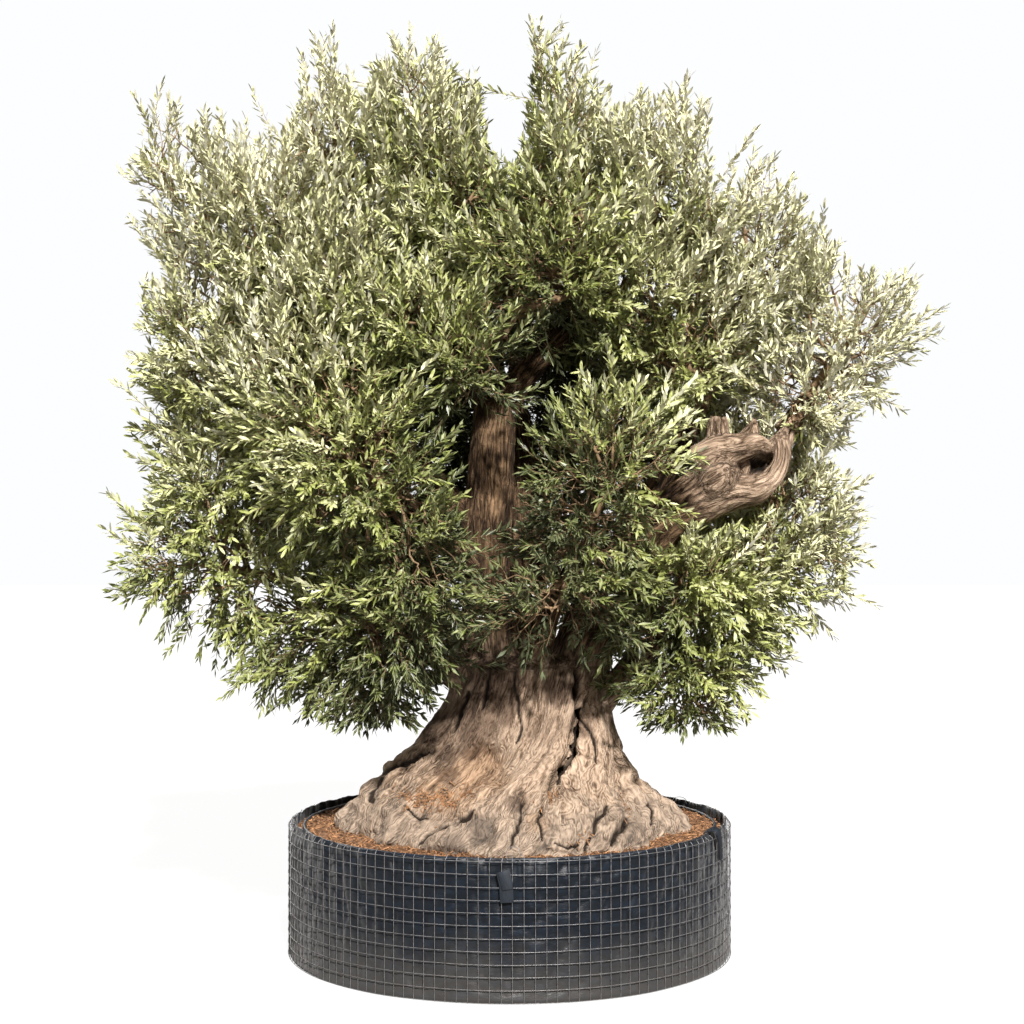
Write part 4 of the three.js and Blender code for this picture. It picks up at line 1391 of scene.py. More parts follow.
def mix(tree, factor, a, b, blend="MIX"):
    """One colour mixed into another."""
    inputs = {0: factor, 6: a, 7: b}
    return add_node(tree, "ShaderNodeMix", inputs, data_type="RGBA", blend_type=blend).outputs[2]


def mix_value(tree, factor, a, b):
    """One number mixed into another."""
    return add_node(tree, "ShaderNodeMix", {0: factor, 2: a, 3: b}, data_type="FLOAT").outputs[0]


def math_node(tree, operation, a, b=0.0, extra=0.0, clamp=False):
    inputs = {0: a, 1: b, 2: extra}
    return add_node(tree, "ShaderNodeMath", inputs, operation=operation, use_clamp=clamp).outputs[0]


def map_range(tree, value, low, high, out_low=0.0, out_high=1.0):
    inputs = {"Value": value, "From Min": low, "From Max": high, "To Min": out_low, "To Max": out_high}
    return add_node(tree, "ShaderNodeMapRange", inputs, interpolation_type="SMOOTHSTEP").outputs[0]


def node_group(name, inputs, outputs):
    """A new shader node group with its sockets, and the nodes that hold them."""
    group = bpy.data.node_groups.new(name, "ShaderNodeTree")
    for key, kind, value in inputs:
        group.interface.new_socket(name=key, in_out="INPUT", socket_type=kind).default_value = value
    for key, kind in outputs:
        group.interface.new_socket(name=key, in_out="OUTPUT", socket_type=kind)
    return group, add_node(group, "NodeGroupInput"), add_node(group, "NodeGroupOutput")


def grain_group():
    """The group that every material takes its grain from: noise in object coordinates, and its bumps."""
    group = bpy.data.node_groups.get("grain")
    if group:
        return group
    group, given, result = node_group("grain", (
        ("Scale", "NodeSocketFloat", 8.0), ("Detail", "NodeSocketFloat", 3.0),
        ("Roughness", "NodeSocketFloat", 0.55), ("Stretch", "NodeSocketVector", (1, 1, 1)),
        ("Height", "NodeSocketFloat", 0.004)),
        (("Mask", "NodeSocketFloat"), ("Normal", "NodeSocketVector")))
    stretched = {"Vector": object_place(group), "Scale": given.outputs["Stretch"]}
    place_of = add_node(group, "ShaderNodeMapping", stretched).outputs[0]
    inputs = {"Vector": place_of, **{key: given.outputs[key] for key in ("Scale", "Detail", "Roughness")}}
    mask = add_node(group, "ShaderNodeTexNoise", inputs).outputs["Fac"]
    group.links.new(mask, result.inputs["Mask"])
    group.links.new(bumped(group, mask, 0.6, given.outputs["Height"]), result.inputs["Normal"])
    return group


def dust_group():
    """The group that lays dry dust over a colour, thickest low down and in drifts."""
    group = bpy.data.node_groups.get("dust")
    if group:
        return group
    group, given, result = node_group("dust", (
        ("Color", "NodeSocketColor", (0, 0, 0, 1)), ("Dust", "NodeSocketColor", colour((118, 113, 106))),
        ("Low", "NodeSocketFloat", -0.15), ("High", "NodeSocketFloat", 0.16),
        ("Amount", "NodeSocketFloat", 0.4)), (("Color", "NodeSocketColor"),))
    drifts = math_node(group, "MULTIPLY", noise_node(group, 9, 4.0), -0.3)
    height = math_node(group, "ADD", object_height(group), drifts)
    share = map_range(group, height, given.outputs["Low"], given.outputs["High"], 1, 0)
    share = math_node(group, "MULTIPLY", share, given.outputs["Amount"])
    mixed = mix(group, share, given.outputs["Color"], given.outputs["Dust"])
    group.links.new(mixed, result.inputs["Color"])
    return group


def grain(tree, scale, detail=3.0, stretch=(1, 1, 1), roughness=0.55, height=0.004):
    """The grain group at one scale: its outputs."""
    inputs = {"Scale": scale, "Detail": detail, "Roughness": roughness, "Stretch": stretch, "Height": height}
    return add_node(tree, "ShaderNodeGroup", inputs, node_tree=grain_group()).outputs


def noise_node(tree, scale, detail=3.0, stretch=(1, 1, 1), roughness=0.55):
    return grain(tree, scale, detail, stretch, roughness)["Mask"]


def dusted(tree, base, low, high, amount):
    inputs = {"Color": base, "Low": low, "High": high, "Amount": amount}
    return add_node(tree, "ShaderNodeGroup", inputs, node_tree=dust_group()).outputs["Color"]


def noise_in(tree, vector, scale, detail, roughness, distortion):
    """Noise in given coordinates."""
    inputs = {
        "Vector": vector, "Scale": scale, "Detail": detail, "Roughness": roughness, "Distortion": distortion}
    return add_node(tree, "ShaderNodeTexNoise", inputs).outputs["Fac"]


def object_place(tree):
    return add_node(tree, "ShaderNodeTexCoord").outputs["Object"]


def object_height(tree):
    return add_node(tree, "ShaderNodeSeparateXYZ", {0: object_place(tree)}).outputs["Z"]


def off_middle(tree, value):
    """How far a value is from a half."""
    return math_node(tree, "ABSOLUTE", math_node(tree, "SUBTRACT", value, 0.5))


def folded(tree, value, steep):
    """Noise folded about its middle: rounded ridges with sharp valleys."""
    return math_node(tree, "MULTIPLY", off_middle(tree, value), 2 * steep, clamp=True)


def banded(tree, value, bands):
    """Noise turned into rounded bands that close into loops round its peaks."""
    wave = math_node(tree, "SINE", math_node(tree, "MULTIPLY", value, bands))
    return math_node(tree, "MULTIPLY_ADD", wave, 0.5, extra=0.5)


def weighted(tree, parts, start):
    """A sum of values, each times its weight."""
    total = None
    for value, weight in parts:
        share = math_node(tree, "MULTIPLY", value, weight)
        total = math_node(tree, "ADD", share, start if total is None else total)
    return total


def attribute(tree, name):
    return add_node(tree, "ShaderNodeAttribute", attribute_name=name).outputs["Fac"]


def bumped(tree, height, strength, distance):
    inputs = {"Height": height, "Strength": strength, "Distance": distance}
    return add_node(tree, "ShaderNodeBump", inputs).outputs[0]


def new_material(name):
    """An empty material with its Principled shader."""
    material = bpy.data.materials.new(name)
    material.use_nodes = True
    tree = material.node_tree
    shader = tree.nodes["Principled BSDF"]
    return material, tree, shader


def bark_bands(tree):
    """Ripples along the bark's flow, which close into loops at the trunk's foot, and its fibres."""
    flow = add_node(tree, "ShaderNodeAttribute", attribute_name="flow").outputs["Vector"]
    upper = folded(tree, noise_in(tree, flow, 58, 1.0, 0.4, 0.5), 3.2)
    eddies = noise_in(tree, flow, 21, 1.0, 0.35, 0.7)
    loops = weighted(tree, ((eddies, 0.6), (noise_node(tree, 13, 1.0), 0.4)), 0)
    wrinkles = folded(tree, noise_in(tree, flow, 74, 1.0, 0.4, 0.8), 2.8)
    lower = weighted(tree, ((banded(tree, loops, 92), 0.62), (wrinkles, 0.38)), 0)
    ripple = mix_value(tree, map_range(tree, attribute(tree, "foot"), 0.02, 0.3), upper, lower)
    return ripple, folded(tree, noise_in(tree, flow, 190, 1.5, 0.5, 0.4), 2.6)


def bark_colour(tree, settings, tones, patches):
    """The bark's colour by its tones: darker up the boughs, partly as painted shade under the crown,
    blotched, stained, painted with leaf shadows and dusty in places, and painted nearly black in its shaded
    recesses.
    """
    low = chosen(settings.bark)
    high = chosen(settings.bough_bark)
    pale = ramp(
        tree, tones, shades(low, ((0.2, 0.36), (0.34, 0.66), (0.46, 0.86), (0.62, 1.0), (0.86, 1.14))))
    deep = ramp(tree, tones, shades(high, ((0.2, 0.32), (0.42, 0.68), (0.62, 1.0), (0.85, 1.4))))
    middling = ramp(tree, tones, shades(low, ((0.2, 0.3), (0.4, 0.62), (0.6, 0.86), (0.85, 1.08))))
    # Bough bark takes over from about 1.34 m up; its darkness is partly their own bark, partly painted shade
    # under the crown.
    ragged = weighted(tree, ((object_height(tree), 1.0), (patches, 0.34)), 0)
    bark = mix(tree, map_range(tree, ragged, 1.34, 1.64), pale, deep)
    bark = mix(tree, attribute(tree, "burl"), bark, middling)
    blotches = map_range(tree, noise_node(tree, 3.1, 3.0), 0.56, 0.7, 0.0, 0.5)
    bark = mix(tree, blotches, bark, colour((158, 148, 140)), "MULTIPLY")
    # Dust patches, and patches that darken the bark as weathering and as painted leaf shadows.
    for key, share, tint in (("dust", 0.42, (224, 196, 158)), ("weather_and_shade", 0.85, (146, 138, 134))):
        patch = math_node(tree, "MULTIPLY", attribute(tree, key), share)
        bark = mix(tree, patch, bark, colour(tint), "MULTIPLY")
    bark = dusted(tree, bark, 0.5, 0.66, 0.35)
    # Painted shade: the clefts, knots, hollows and the burl's opening are darkened to near black.
    recess_shade = map_range(tree, attribute(tree, "recess_shade"), 0.12, 0.8, 0.0, 0.95)
    return mix(tree, recess_shade, bark, colour((28, 20, 14)))


def bark_material(settings):
    """Pale sunlit ridges over brown, darker up the boughs, partly as painted shade under the crown, and
    painted nearly black with shade in the clefts.
    """
    material, tree, shader = new_material("olive_bark")
    tone = attribute(tree, "tone")
    ripple, fibre = bark_bands(tree)
    speckle = noise_node(tree, 140, 4.0, roughness=0.6)
    patches = noise_node(tree, 5.5, 4.0, (1, 1, 0.6))
    tones = weighted(tree, ((tone, 0.4), (ripple, 0.3), (fibre, 0.14), (speckle, 0.2), (patches, 0.3)), -0.2)
    relief = weighted(tree, ((ripple, 0.9), (fibre, 0.5), (speckle, 0.5)), 0)
    set_inputs(tree, shader, {
        "Base Color": bark_colour(tree, settings, tones, patches), "Roughness": 0.88,
        "Specular IOR Level": 0.25, "Normal": bumped(tree, relief, 0.9, 0.007)})
    return material


def leaf_material(name, top, under, light):
    """A leaf with a pale midrib, its colour varied from leaf to leaf between painted shade and a painted
    highlight, and a silvery underside.
    """
    material, tree, shader = new_material(name)
    speckle = noise_node(tree, 32, 2.0)
    large = noise_node(tree, 3.5, 2.0)
    varied = weighted(tree, ((speckle, 0.75), (large, 0.3)), 0)
    # Painted shade at the dark end of each leaf's colour, and a painted highlight at its light end.
    painted_shade_top = tuple(value * share for value, share in zip(top, (0.43, 0.44, 0.31)))
    face = ramp(tree, varied, ((0.38, painted_shade_top), (0.52, top), (0.68, light)))
    uv = add_node(tree, "ShaderNodeUVMap", uv_map="UVMap").outputs[0]
    across = add_node(tree, "ShaderNodeSeparateXYZ", {0: uv}).outputs["X"]
    off_rib = off_middle(tree, across)
    rib = map_range(tree, off_rib, 0.0, 0.11, 0.55, 0.0)
    face = mix(tree, rib, face, colour(MIDRIB))
    back = ramp(tree, varied, ((0.36, tuple(value * 0.7 for value in under)), (0.64, under)))
    side = add_node(tree, "ShaderNodeNewGeometry").outputs["Backfacing"]
    fold = bumped(tree, off_rib, 0.5, 0.004)
    set_inputs(tree, shader, {
        "Base Color": mix(tree, side, face, back), "Roughness": mix_value(tree, side, 0.4, 0.62),
        "Specular IOR Level": 0.42, "Normal": fold})
    return material


def plain_material(name, stops, scale, roughness, height=0.004, stretch=(1, 1, 1), dust=None, **others):
    """A material whose colour runs through stops by its grain, with bumps, and dust on its foot."""
    material, tree, shader = new_material(name)
    made = grain(tree, scale, 5.0, stretch, 0.6, height)
    base = ramp(tree, made["Mask"], stops)
    if dust:
        base = dusted(tree, base, *dust)
    values = {"Base Color": base, "Roughness": roughness, "Normal": made["Normal"]}
    values.update({key.replace("_", " "): value for key, value in others.items()})
    set_inputs(tree, shader, values)
    return material


# ---------------------------------------------------------------- crate
def wire_rings():
    """Radii from the outside in: hoops, uprights and the sheet inside them."""
    half = CRATE["wire"] / 2
    hoop = CRATE["radius"] - half
    upright = hoop - 1.2 * half
    sheet = upright - half * math.sin(2 * math.pi / 3) - 0.3
    return hoop, upright, sheet


def rim_height(turn):
    """The liner's uneven upper edge: lower at the front."""
    ring = on_ring(turn, 1, 0)
    front = smoothstep(0.35, 0.95, -np.sin(turn))
    return 593 - 17 * front + 13 * (cloud(ring * 7, 101) - 0.5) + 10 * (cloud(ring * 22, 103) - 0.5)


def liner_radius(turns, z, levels):
    """How far out the sheet stands, pressed in by its folds."""
    spot = on_ring(turns, 1000, z)
    folds = cords(warp(spot / (1, 1, 2.2), 110, 30, 111) / 74, 113)
    creases = cords(warp(spot, 60, 22, 115) / 38, 117)
    press = 4 + 13 * (1 - folds) * (0.4 + 0.6 * levels) + 4 * (1 - creases)
    press = press + 16 * smoothstep(0.86, 1, levels) * cloud(spot / 85, 119)
    foot = CRATE["tuck"] - levels * 300
    return wire_rings()[2] - np.where(levels < 0.02, foot, press * smoothstep(0.0, 0.1, levels))


def liner_mesh():
    """A sheet that stands in folds inside the wire, turned over at its rim."""
    columns = LINER["columns"]
    heights = np.concatenate([[0.0, 0.012], np.linspace(0.03, 1, LINER["levels"])])
    turns, levels = np.meshgrid(ring_angles(columns), heights)
    z = levels * rim_height(turns)
    outer = on_ring(turns, liner_radius(turns, z, levels), z)
    turned = np.arange(1, LINER["turned"] + 1)
    inner = outer[::-1][turned]
    shrink = np.minimum(turned, LINER["fold"]) / LINER["fold"] * CRATE["liner"]
    flat = np.hypot(inner[..., 0], inner[..., 1])
    inner[..., :2] *= ((flat - shrink[:, None] - 2.0) / flat)[..., None]
    lip = outer[-1].copy()
    lip_flat = np.hypot(lip[..., 0], lip[..., 1])
    lip[..., :2] *= ((lip_flat - CRATE["liner"] * 0.5) / lip_flat)[..., None]
    lip[..., 2] += 2.2
    rows = np.concatenate([outer, lip[None], inner])
    return rows.reshape(-1, 3), grid_faces(len(rows), columns)


def floor_mesh():
    """The closed underside of the liner."""
    sheet = wire_rings()[2]
    columns = 160
    rings = [on_ring(ring_angles(columns), radius, 0.0)
             for radius in (sheet - CRATE["tuck"], sheet - 200, 300, 1)]
    return np.concatenate(rings), grid_faces(len(rings), columns)[:, ::-1]


def cage_mesh(uprights, hoops):
    """Welded mesh: upright wires with uneven bent ends inside round hoops."""
    hoop_ring, upright_ring, _ = wire_rings()
    radius = CRATE["wire"] / 2
    rng = np.random.default_rng(5)
    turn = ring_angles(2 * uprights)
    parts = []
    for level in np.linspace(CRATE["wire"], CRATE["hoop_top"], hoops):
        sag = 4.8 * (cloud(on_ring(turn, 3, level / 90), 131) - 0.5)
        line = on_ring(turn, hoop_ring, level + sag)
        parts.append(tube(line, np.full(len(turn), radius), 5, closed=True))
    for i in range(uprights):
        turn = i * 2 * math.pi / uprights + rng.normal(0, 0.0012)
        bend = rng.normal(0, 5)
        tall = CRATE["height"] + rng.uniform(-6, 5)
        levels = np.array((1.5, 200, 400, 566, 578, tall))
        rings = np.array((upright_ring,) * 4 + (upright_ring - 3, upright_ring - 9 - rng.uniform(0, 9)))
        side = np.array((0, 0, 0, 0, 0.3, 1)) * bend / upright_ring
        line = on_ring(turn + side, rings, levels)
        parts.append(tube(line, np.full(len(line), radius), 5))
    return gathered(parts)


def ground_height(radius, turn):
    """The soil's surface."""
    edge = wire_rings()[2] - CRATE["liner"] - 0.3
    slope_share = np.clip((edge - radius) / SOIL["shoulder"], 0, 1)
    level = SOIL["edge"] + (SOIL["top"] - SOIL["edge"]) * slope_share
    spot = on_ring(turn, radius, 0)
    return level + 9 * (cloud(spot / 60, 141) - 0.5) + 7 * (cloud(spot / 21, 143) - 0.5)


def soil_mesh():
    """The soil from the liner to under the trunk, as rings."""
    columns = 480
    inside = 420
    turns, inward = np.meshgrid(ring_angles(columns), np.linspace(0, 1, 54))
    level = np.full_like(turns, SOIL["edge"] / CRATE["height"])
    outer = liner_radius(turns, level * rim_height(turns), level) - CRATE["liner"] - 2
    rings = outer + (inside - outer) * inward
    points = on_ring(turns, rings, ground_height(rings, turns)).reshape(-1, 3)
    return points, grid_faces(len(inward), columns)


def chip_mesh(places, ways, normals, long, rng):
    """Shredded bark chips: crooked splinters of eight points."""
    count = len(places)
    across = np.cross(normals, ways)
    wide = rng.uniform(2.0, 6.5, count)
    thick = rng.uniform(1.0, 2.8, count)
    bend = rng.normal(0, 0.12, count) * long
    corners = []
    for along, out, up in itertools.product((-1, 1), (-1, 1), (-1, 1)):
        shrink = rng.uniform(0.35, 1.0, count)
        corners.append(
            places + ways * (along * long / 2 * rng.uniform(0.8, 1.0, count))[:, None]
            + across * (out * wide / 2 * shrink + along * bend)[:, None]
            + normals * (up * thick / 2)[:, None])
    points = np.stack(corners, axis=1).reshape(-1, 3)
    one = np.array(((0, 1, 3, 2), (4, 6, 7, 5), (0, 4, 5, 1), (2, 3, 7, 6), (0, 2, 6, 4), (1, 5, 7, 3)))
    return points, repeated(one, count, len(corners))


def mulch_places(count, rng):
    """Where chips lie between the trunk and the liner."""
    outer = wire_rings()[2] - MULCH["off_liner"]
    turn = rng.uniform(0, 2 * math.pi, count)
    radius = np.sqrt(rng.uniform(MULCH["inner"] ** 2, outer ** 2, count))
    z = ground_height(radius, turn) + rng.uniform(0, 7, count)
    normals = unit(np.array((0, 0, 1.0)) + rng.normal(0, 0.33, (count, 3)))
    return on_ring(turn, radius, z), normals


def litter_places(count, rng):
    """Where chips lie on the trunk: in the saddle and at the foot of the cleft."""
    tops = []
    shares = []
    for at, level, wide, tall, part in LITTER_BEDS:
        number = int(count * part)
        tops.append(at + rng.normal(0, wide, number))
        shares.append(np.clip(level + rng.normal(0, tall, number), 0.01, 1))
    top = np.concatenate(tops)
    share = np.concatenate(shares)
    places = trunk_surface(top, share)
    over = trunk_surface(top, share + 0.01) - places
    beside = trunk_surface(top + 1, share) - places
    normals = unit(np.cross(beside, over))
    return places + normals * 5, unit(normals + rng.normal(0, 0.25, places.shape))


# ---------------------------------------------------------------- settings
def colour_setting(name, rgb, text):
    return bpy.props.FloatVectorProperty(
        name=name, description=text, subtype="COLOR_GAMMA", size=3, min=0, max=1,
        default=tuple(value / 255 for value in rgb))


def chosen(setting):
    """A colour setting as sRGB numbers in 0 to 255."""
    return np.array(setting[:]) * 255


class OliveWoodSettings(bpy.types.PropertyGroup):
    trunk_voxel: bpy.props.FloatProperty(
        name="Trunk detail", description="Size of the trunk's remesh",
        default=0.0087, min=0.004, unit="LENGTH")
    bough_voxel: bpy.props.FloatProperty(
        name="Bough detail", description="Size of the boughs' remesh",
        default=0.0105, min=0.006, unit="LENGTH")
    join: bpy.props.FloatProperty(
        name="Join", description="Height at which the boughs take over from the trunk",
        default=1.32, unit="LENGTH")
    bark: colour_setting("Bark", (186, 163, 141), "Colour of the sunlit bark low on the trunk")
    # The bough bark colour is partly their own darker bark, partly painted shade under the crown.
    bough_bark: colour_setting("Bough bark", (108, 87, 66), "Colour of the bark of the boughs")


class OliveFoliageSettings(bpy.types.PropertyGroup):
    shoots: bpy.props.IntProperty(
        name="Shoots", description="Shoots tried in each mass of foliage", default=1650, min=20)
    leaf_length: bpy.props.FloatProperty(
        name="Leaf length", description="Length of a full-grown leaf", default=0.052, unit="LENGTH")
    leaf_width: bpy.props.FloatProperty(
        name="Leaf width", description="Width of a leaf as a share of its length",
        default=0.265, subtype="FACTOR")
    # Leaf colours from deep to pale, dealt out as painted shade inside the crown and painted light at its
    # top and edges.
    inner: colour_setting("Inner leaves", (40, 52, 15), "Colour of the leaves deep in the crown")
    middling: colour_setting("Leaves", (137, 147, 68), "Colour of the leaves between")
    outer: colour_setting("Outer leaves", (214, 214, 170), "Colour of the leaves at the top and edges")
    twigs: colour_setting("Twigs", (124, 102, 76), "Colour of the twigs")


class OliveCrateSettings(bpy.types.PropertyGroup):
    uprights: bpy.props.IntProperty(
        name="Uprights", description="Upright wires round the crate", default=137)
    hoops: bpy.props.IntProperty(name="Hoops", description="Wire hoops up the crate", default=12)
    chips: bpy.props.IntProperty(name="Chips", description="Chips of mulch on the soil", default=8200)
    litter: bpy.props.IntProperty(name="Litter", description="Chips caught on the trunk", default=560)
    liner: colour_setting("Liner", (17, 24, 32), "Colour of the plastic liner, the strap and the hose")
    wire: colour_setting("Wire", (122, 122, 124), "Colour of the cage's wire")
    mulch: colour_setting("Mulch", (144, 107, 76), "Colour of the mulch")


class OliveStageSettings(bpy.types.PropertyGroup):
    sun: bpy.props.FloatProperty(name="Sun", description="Strength of the main light", default=7.7)
    fill: bpy.props.FloatProperty(
        name="Fill", description="Strength of the weak light from behind", default=1.6)
    sky: bpy.props.FloatProperty(
        name="Sky", description="Strength of the light from all round", default=0.31)
    lens: bpy.props.FloatProperty(
        name="Lens", description="Focal length in millimetres", default=64.4, subtype="DISTANCE_CAMERA")
    distance: bpy.props.FloatProperty(
        name="Distance", description="From the camera to the tree", default=8.33, unit="LENGTH")
    eye: bpy.props.FloatProperty(
        name="Eye height", description="Height of the camera", default=1.945, unit="LENGTH")


# ---------------------------------------------------------------- operators
class OLIVE_OT_wood(bpy.types.Operator):
    """Make the trunk and boughs with their bark"""

    bl_idname = "olive.wood"
    bl_label = "Trunk and boughs"

    def execute(self, context):
        settings = context.scene.olive_wood
        join = settings.join / MM
        bark = bark_material(settings)
        trunk = wood_object("trunk_bark", settings.trunk_voxel, 0, join)
        dress_wood(trunk)
        place(trunk, bark, "trunk_bark", "trunk")
        boughs = wood_object("bough_bark", settings.bough_voxel, join - 20, 9000)
        dress_wood(boughs)
        place(boughs, bark, "bough_bark", *BOUGHS)
        return {"FINISHED"}


class OLIVE_OT_foliage(bpy.types.Operator):
    """Grow the twigs and leaves of every mass of foliage"""

    bl_idname = "olive.foliage"
    bl_label = "Twigs and leaves"

    def execute(self, context):
        settings = context.scene.olive_foliage
        masses = rooted_masses()
        box = shoot_room()
        balls = limb_balls(masses)
        segments = []
        leaves = []
        for seed, mass in enumerate(masses, 1):
            twigs, blades = grow_foliage(mass, balls, box, seed, settings)
            segments += twigs
            leaves.append(blades)
        make_twigs(segments, settings)
        make_leaves(leaves, settings)
        return {"FINISHED"}


def grow_foliage(mass, balls, box, seed, settings):
    """One mass's twigs as starts, ends and radii at both, and its leaves with how pale each is in painted
    light and shade.
    """
    growth, shoots = grow_mass(mass, balls, seed, settings.shoots)
    rng = np.random.default_rng(100 + seed)
    curves = shoot_curves(mass, balls, growth, shoots, rng, box)
    starts, turns, tips, _, painted_light_and_tone = curves
    radii = pipe_radii(growth, shoots, mass.thick)
    after = np.arange(1, growth.count)
    before = growth.before[after]
    middle = 0.25 * starts + 0.5 * turns + 0.25 * tips
    foot = np.full(len(starts), SHOOT["tip"] * 1.25)
    segments = [
        (growth.places[before], growth.places[after], radii[before], radii[after]),
        (starts, middle, foot, foot * 0.8),
        (middle, tips, foot * 0.8, foot * 0.35),
    ]
    *blades, shoot = leaf_places(curves, rng, settings.leaf_length / MM, SHOOT["pair_gap"])
    return segments, (*blades, painted_light_and_tone[shoot] + painted_light_by_place(blades[0]))


def shoot_room():
    """The box that shoots keep to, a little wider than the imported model's."""
    low, high = (np.array(corner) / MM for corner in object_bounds())
    spare = 0.03 * (high - low) + 10 - SHOOT["room"]
    spare[2] = -5
    return low - spare, high + spare


def painted_light_by_place(points):
    """Painted light and shade: how much paler leaves are where they stand high, to the side or hanging in
    front, and deeper low in the middle of the crown.
    """
    across, away, up = (points / 1000).T
    aside = np.abs(across - 0.1)
    inside = bump(np.hypot((across - 0.05) / 0.6, (up - 2.15) / 0.75))
    hanging = smoothstep(-0.5, -0.9, away)
    spread = 0.2 * (up - 2.5) + 0.38 * (np.minimum(aside, 1.3) - 0.7) + 0.1 * across
    return spread - 0.16 * inside + 0.09 * hanging


def make_twigs(segments, settings):
    starts, ends, start_radii, end_radii = (np.concatenate([row[i] for row in segments]) for i in range(4))
    bark = plain_material(
        "twig_bark", shades(chosen(settings.twigs), ((0.3, 0.68), (0.5, 1.0), (0.72, 1.3))), 14, 0.8)
    stout = start_radii > 6
    right = starts[:, 0] > 0
    thin = ~stout
    for name, kind, sides in (
            ("branchlets", stout, 6), ("twigs_left", thin & ~right, 3), ("twigs_right", thin & right, 3)):
        wood = prisms(starts[kind], ends[kind], start_radii[kind], end_radii[kind], sides)
        place(mesh_object(name, *wood), bark, "foliage")


def leaf_tints(settings):
    """Each tint's top, underside and painted highlight colour, from deep and inner to pale and outer."""
    marks = np.array([chosen(key) for key in (settings.inner, settings.middling, settings.outer)])
    for i in range(TINTS):
        share = i / (TINTS - 1)
        top = np.array([np.interp(share, (0, 0.5, 1), marks[:, k]) for k in range(3)])
        under = top + (0.29 + 0.57 * share ** 2) * (UNDERSIDE - top)
        light = top + (0.32 + 0.48 * share ** 2) * (PAINTED_HIGHLIGHT - top)
        yield top, under, light


def make_leaves(leaves, settings):
    base, way, up, long, painted_light_and_tone = (np.concatenate([row[i] for row in leaves]) for i in range(5))
    # The tints are dealt out as painted light and shade: the lowest shares get the deepest tints.
    order = np.argsort(painted_light_and_tone, kind="stable")
    bounds = np.linspace(0, len(order), TINTS + 1).astype(int)
    names = list(MASSES)
    for i, (top, under, light) in enumerate(leaf_tints(settings)):
        chosen_leaves = order[bounds[i]:bounds[i + 1]][:MOST_LEAVES]
        places, ways, ups, sizes = (values[chosen_leaves] for values in (base, way, up, long))
        points, faces, uv = leaf_mesh(places, ways, ups, sizes, settings.leaf_width, i >= SIMPLE_TINTS)
        piece = mesh_object(f"leaves_{i + 1}", points, faces, uv)
        material = leaf_material(f"olive_leaf_{i + 1}", tuple(top), tuple(under), tuple(light))
        place(piece, material, "foliage", *names[i::TINTS])


class OLIVE_OT_crate(bpy.types.Operator):
    """Make the liner and the wire cage"""

    bl_idname = "olive.crate"
    bl_label = "Liner and cage"

    def execute(self, context):
        settings = context.scene.olive_crate
        plastic = plain_material(
            "liner_plastic", shades(chosen(settings.liner), ((0.3, 0.75), (0.52, 1.0), (0.74, 1.4))), 16,
            0.42, 0.006, (1, 1, 2.4), (-0.15, 0.18, 0.2), Specular_IOR_Level=0.25, Sheen_Weight=0.18)
        sheet = gathered([liner_mesh(), floor_mesh()])
        place(mesh_object("crate_liner", *sheet), plastic, "liner", "liner")
        steel = shades(chosen(settings.wire), ((0.3, 0.7), (0.55, 1.0), (0.75, 1.2)))
        wire = plain_material(
            "cage_wire", steel, 60, 0.45, 0.001, dust=(-0.15, 0.2, 0.3), Metallic=0.45)
        cage = cage_mesh(settings.uprights, settings.hoops)
        place(mesh_object("crate_wire", *cage), wire, "wire", "wire_cage")
        return {"FINISHED"}


class OLIVE_OT_ground(bpy.types.Operator):
    """Make the soil, its mulch and the litter on the trunk"""

    bl_idname = "olive.ground"
    bl_label = "Soil and mulch"

    def execute(self, context):
        settings = context.scene.olive_crate
        rng = np.random.default_rng(12)
        mulch = chosen(settings.mulch)
        earth = plain_material(
            "soil_earth", shades(mulch, ((0.3, 0.46), (0.5, 0.78), (0.72, 1.05))), 110, 0.95, 0.006)
        place(mesh_object("soil_surface", *soil_mesh()), earth, "soil", "soil")
        kinds = (
            ("mulch_brown", settings.chips // 2, (0.58, 0.82)),
            ("mulch_orange", settings.chips // 3, (0.86, 1.1)),
            ("mulch_pale", settings.chips // 6, (1.12, 1.4)))
        for name, count, tones in kinds:
            make_chips(name, *mulch_places(count, rng), shades(mulch, zip((0.35, 0.65), tones)), 44, rng)
        dry = shades(mulch, ((0.35, 0.66), (0.65, 1.14)))
        make_chips("litter", *litter_places(settings.litter, rng), dry, 30, rng)
        return {"FINISHED"}


def make_chips(name, places, normals, stops, longest, rng):
    """A set of chips lying every way on their normals, with a material of their own tones."""
    ways = unit(np.cross(normals, rng.normal(0, 1, normals.shape)))
    long = rng.uniform(0.22, 1, len(places)) * longest
    points, faces = chip_mesh(places, ways, normals, long, rng)
    piece = mesh_object(name, points, faces, smooth=False)
    place(piece, plain_material(name, stops, 45, 0.9, 0.002), "soil")


class OLIVE_OT_fittings(bpy.types.Operator):
    """Make the drip hose, the strap end, the strap's loop and the loose wires"""

    bl_idname = "olive.fittings"
    bl_label = "Hose and straps"

    def execute(self, context):
        black = chosen(context.scene.olive_crate.liner)
        make_hose(black)
        make_strap(black)
        make_loops()
        return {"FINISHED"}


def make_hose(black):
    """A black drip hose in a ring on the soil, with a joiner where its ends meet."""
    turn = ring_angles(HOSE["steps"])
    radius = HOSE["ring"] + 7 * (cloud(on_ring(turn, 1, 0) * 2.5, 151) - 0.5)
    z = ground_height(radius, turn) * 0.3 + 0.7 * HOSE["level"] + HOSE["radius"] + 2
    girth = np.full(len(turn), float(HOSE["radius"]))
    girth[60:66] = HOSE["radius"] * 1.35
    ring = tube(on_ring(turn, radius, z), girth, 10, closed=True)
    rubber = plain_material("hose_rubber", shades(black, ((0.3, 1.0), (0.7, 1.7))), 30, 0.5, 0.001)
    place(mesh_object("drip_hose_ring", *ring), rubber, "hose", "drip_hose")


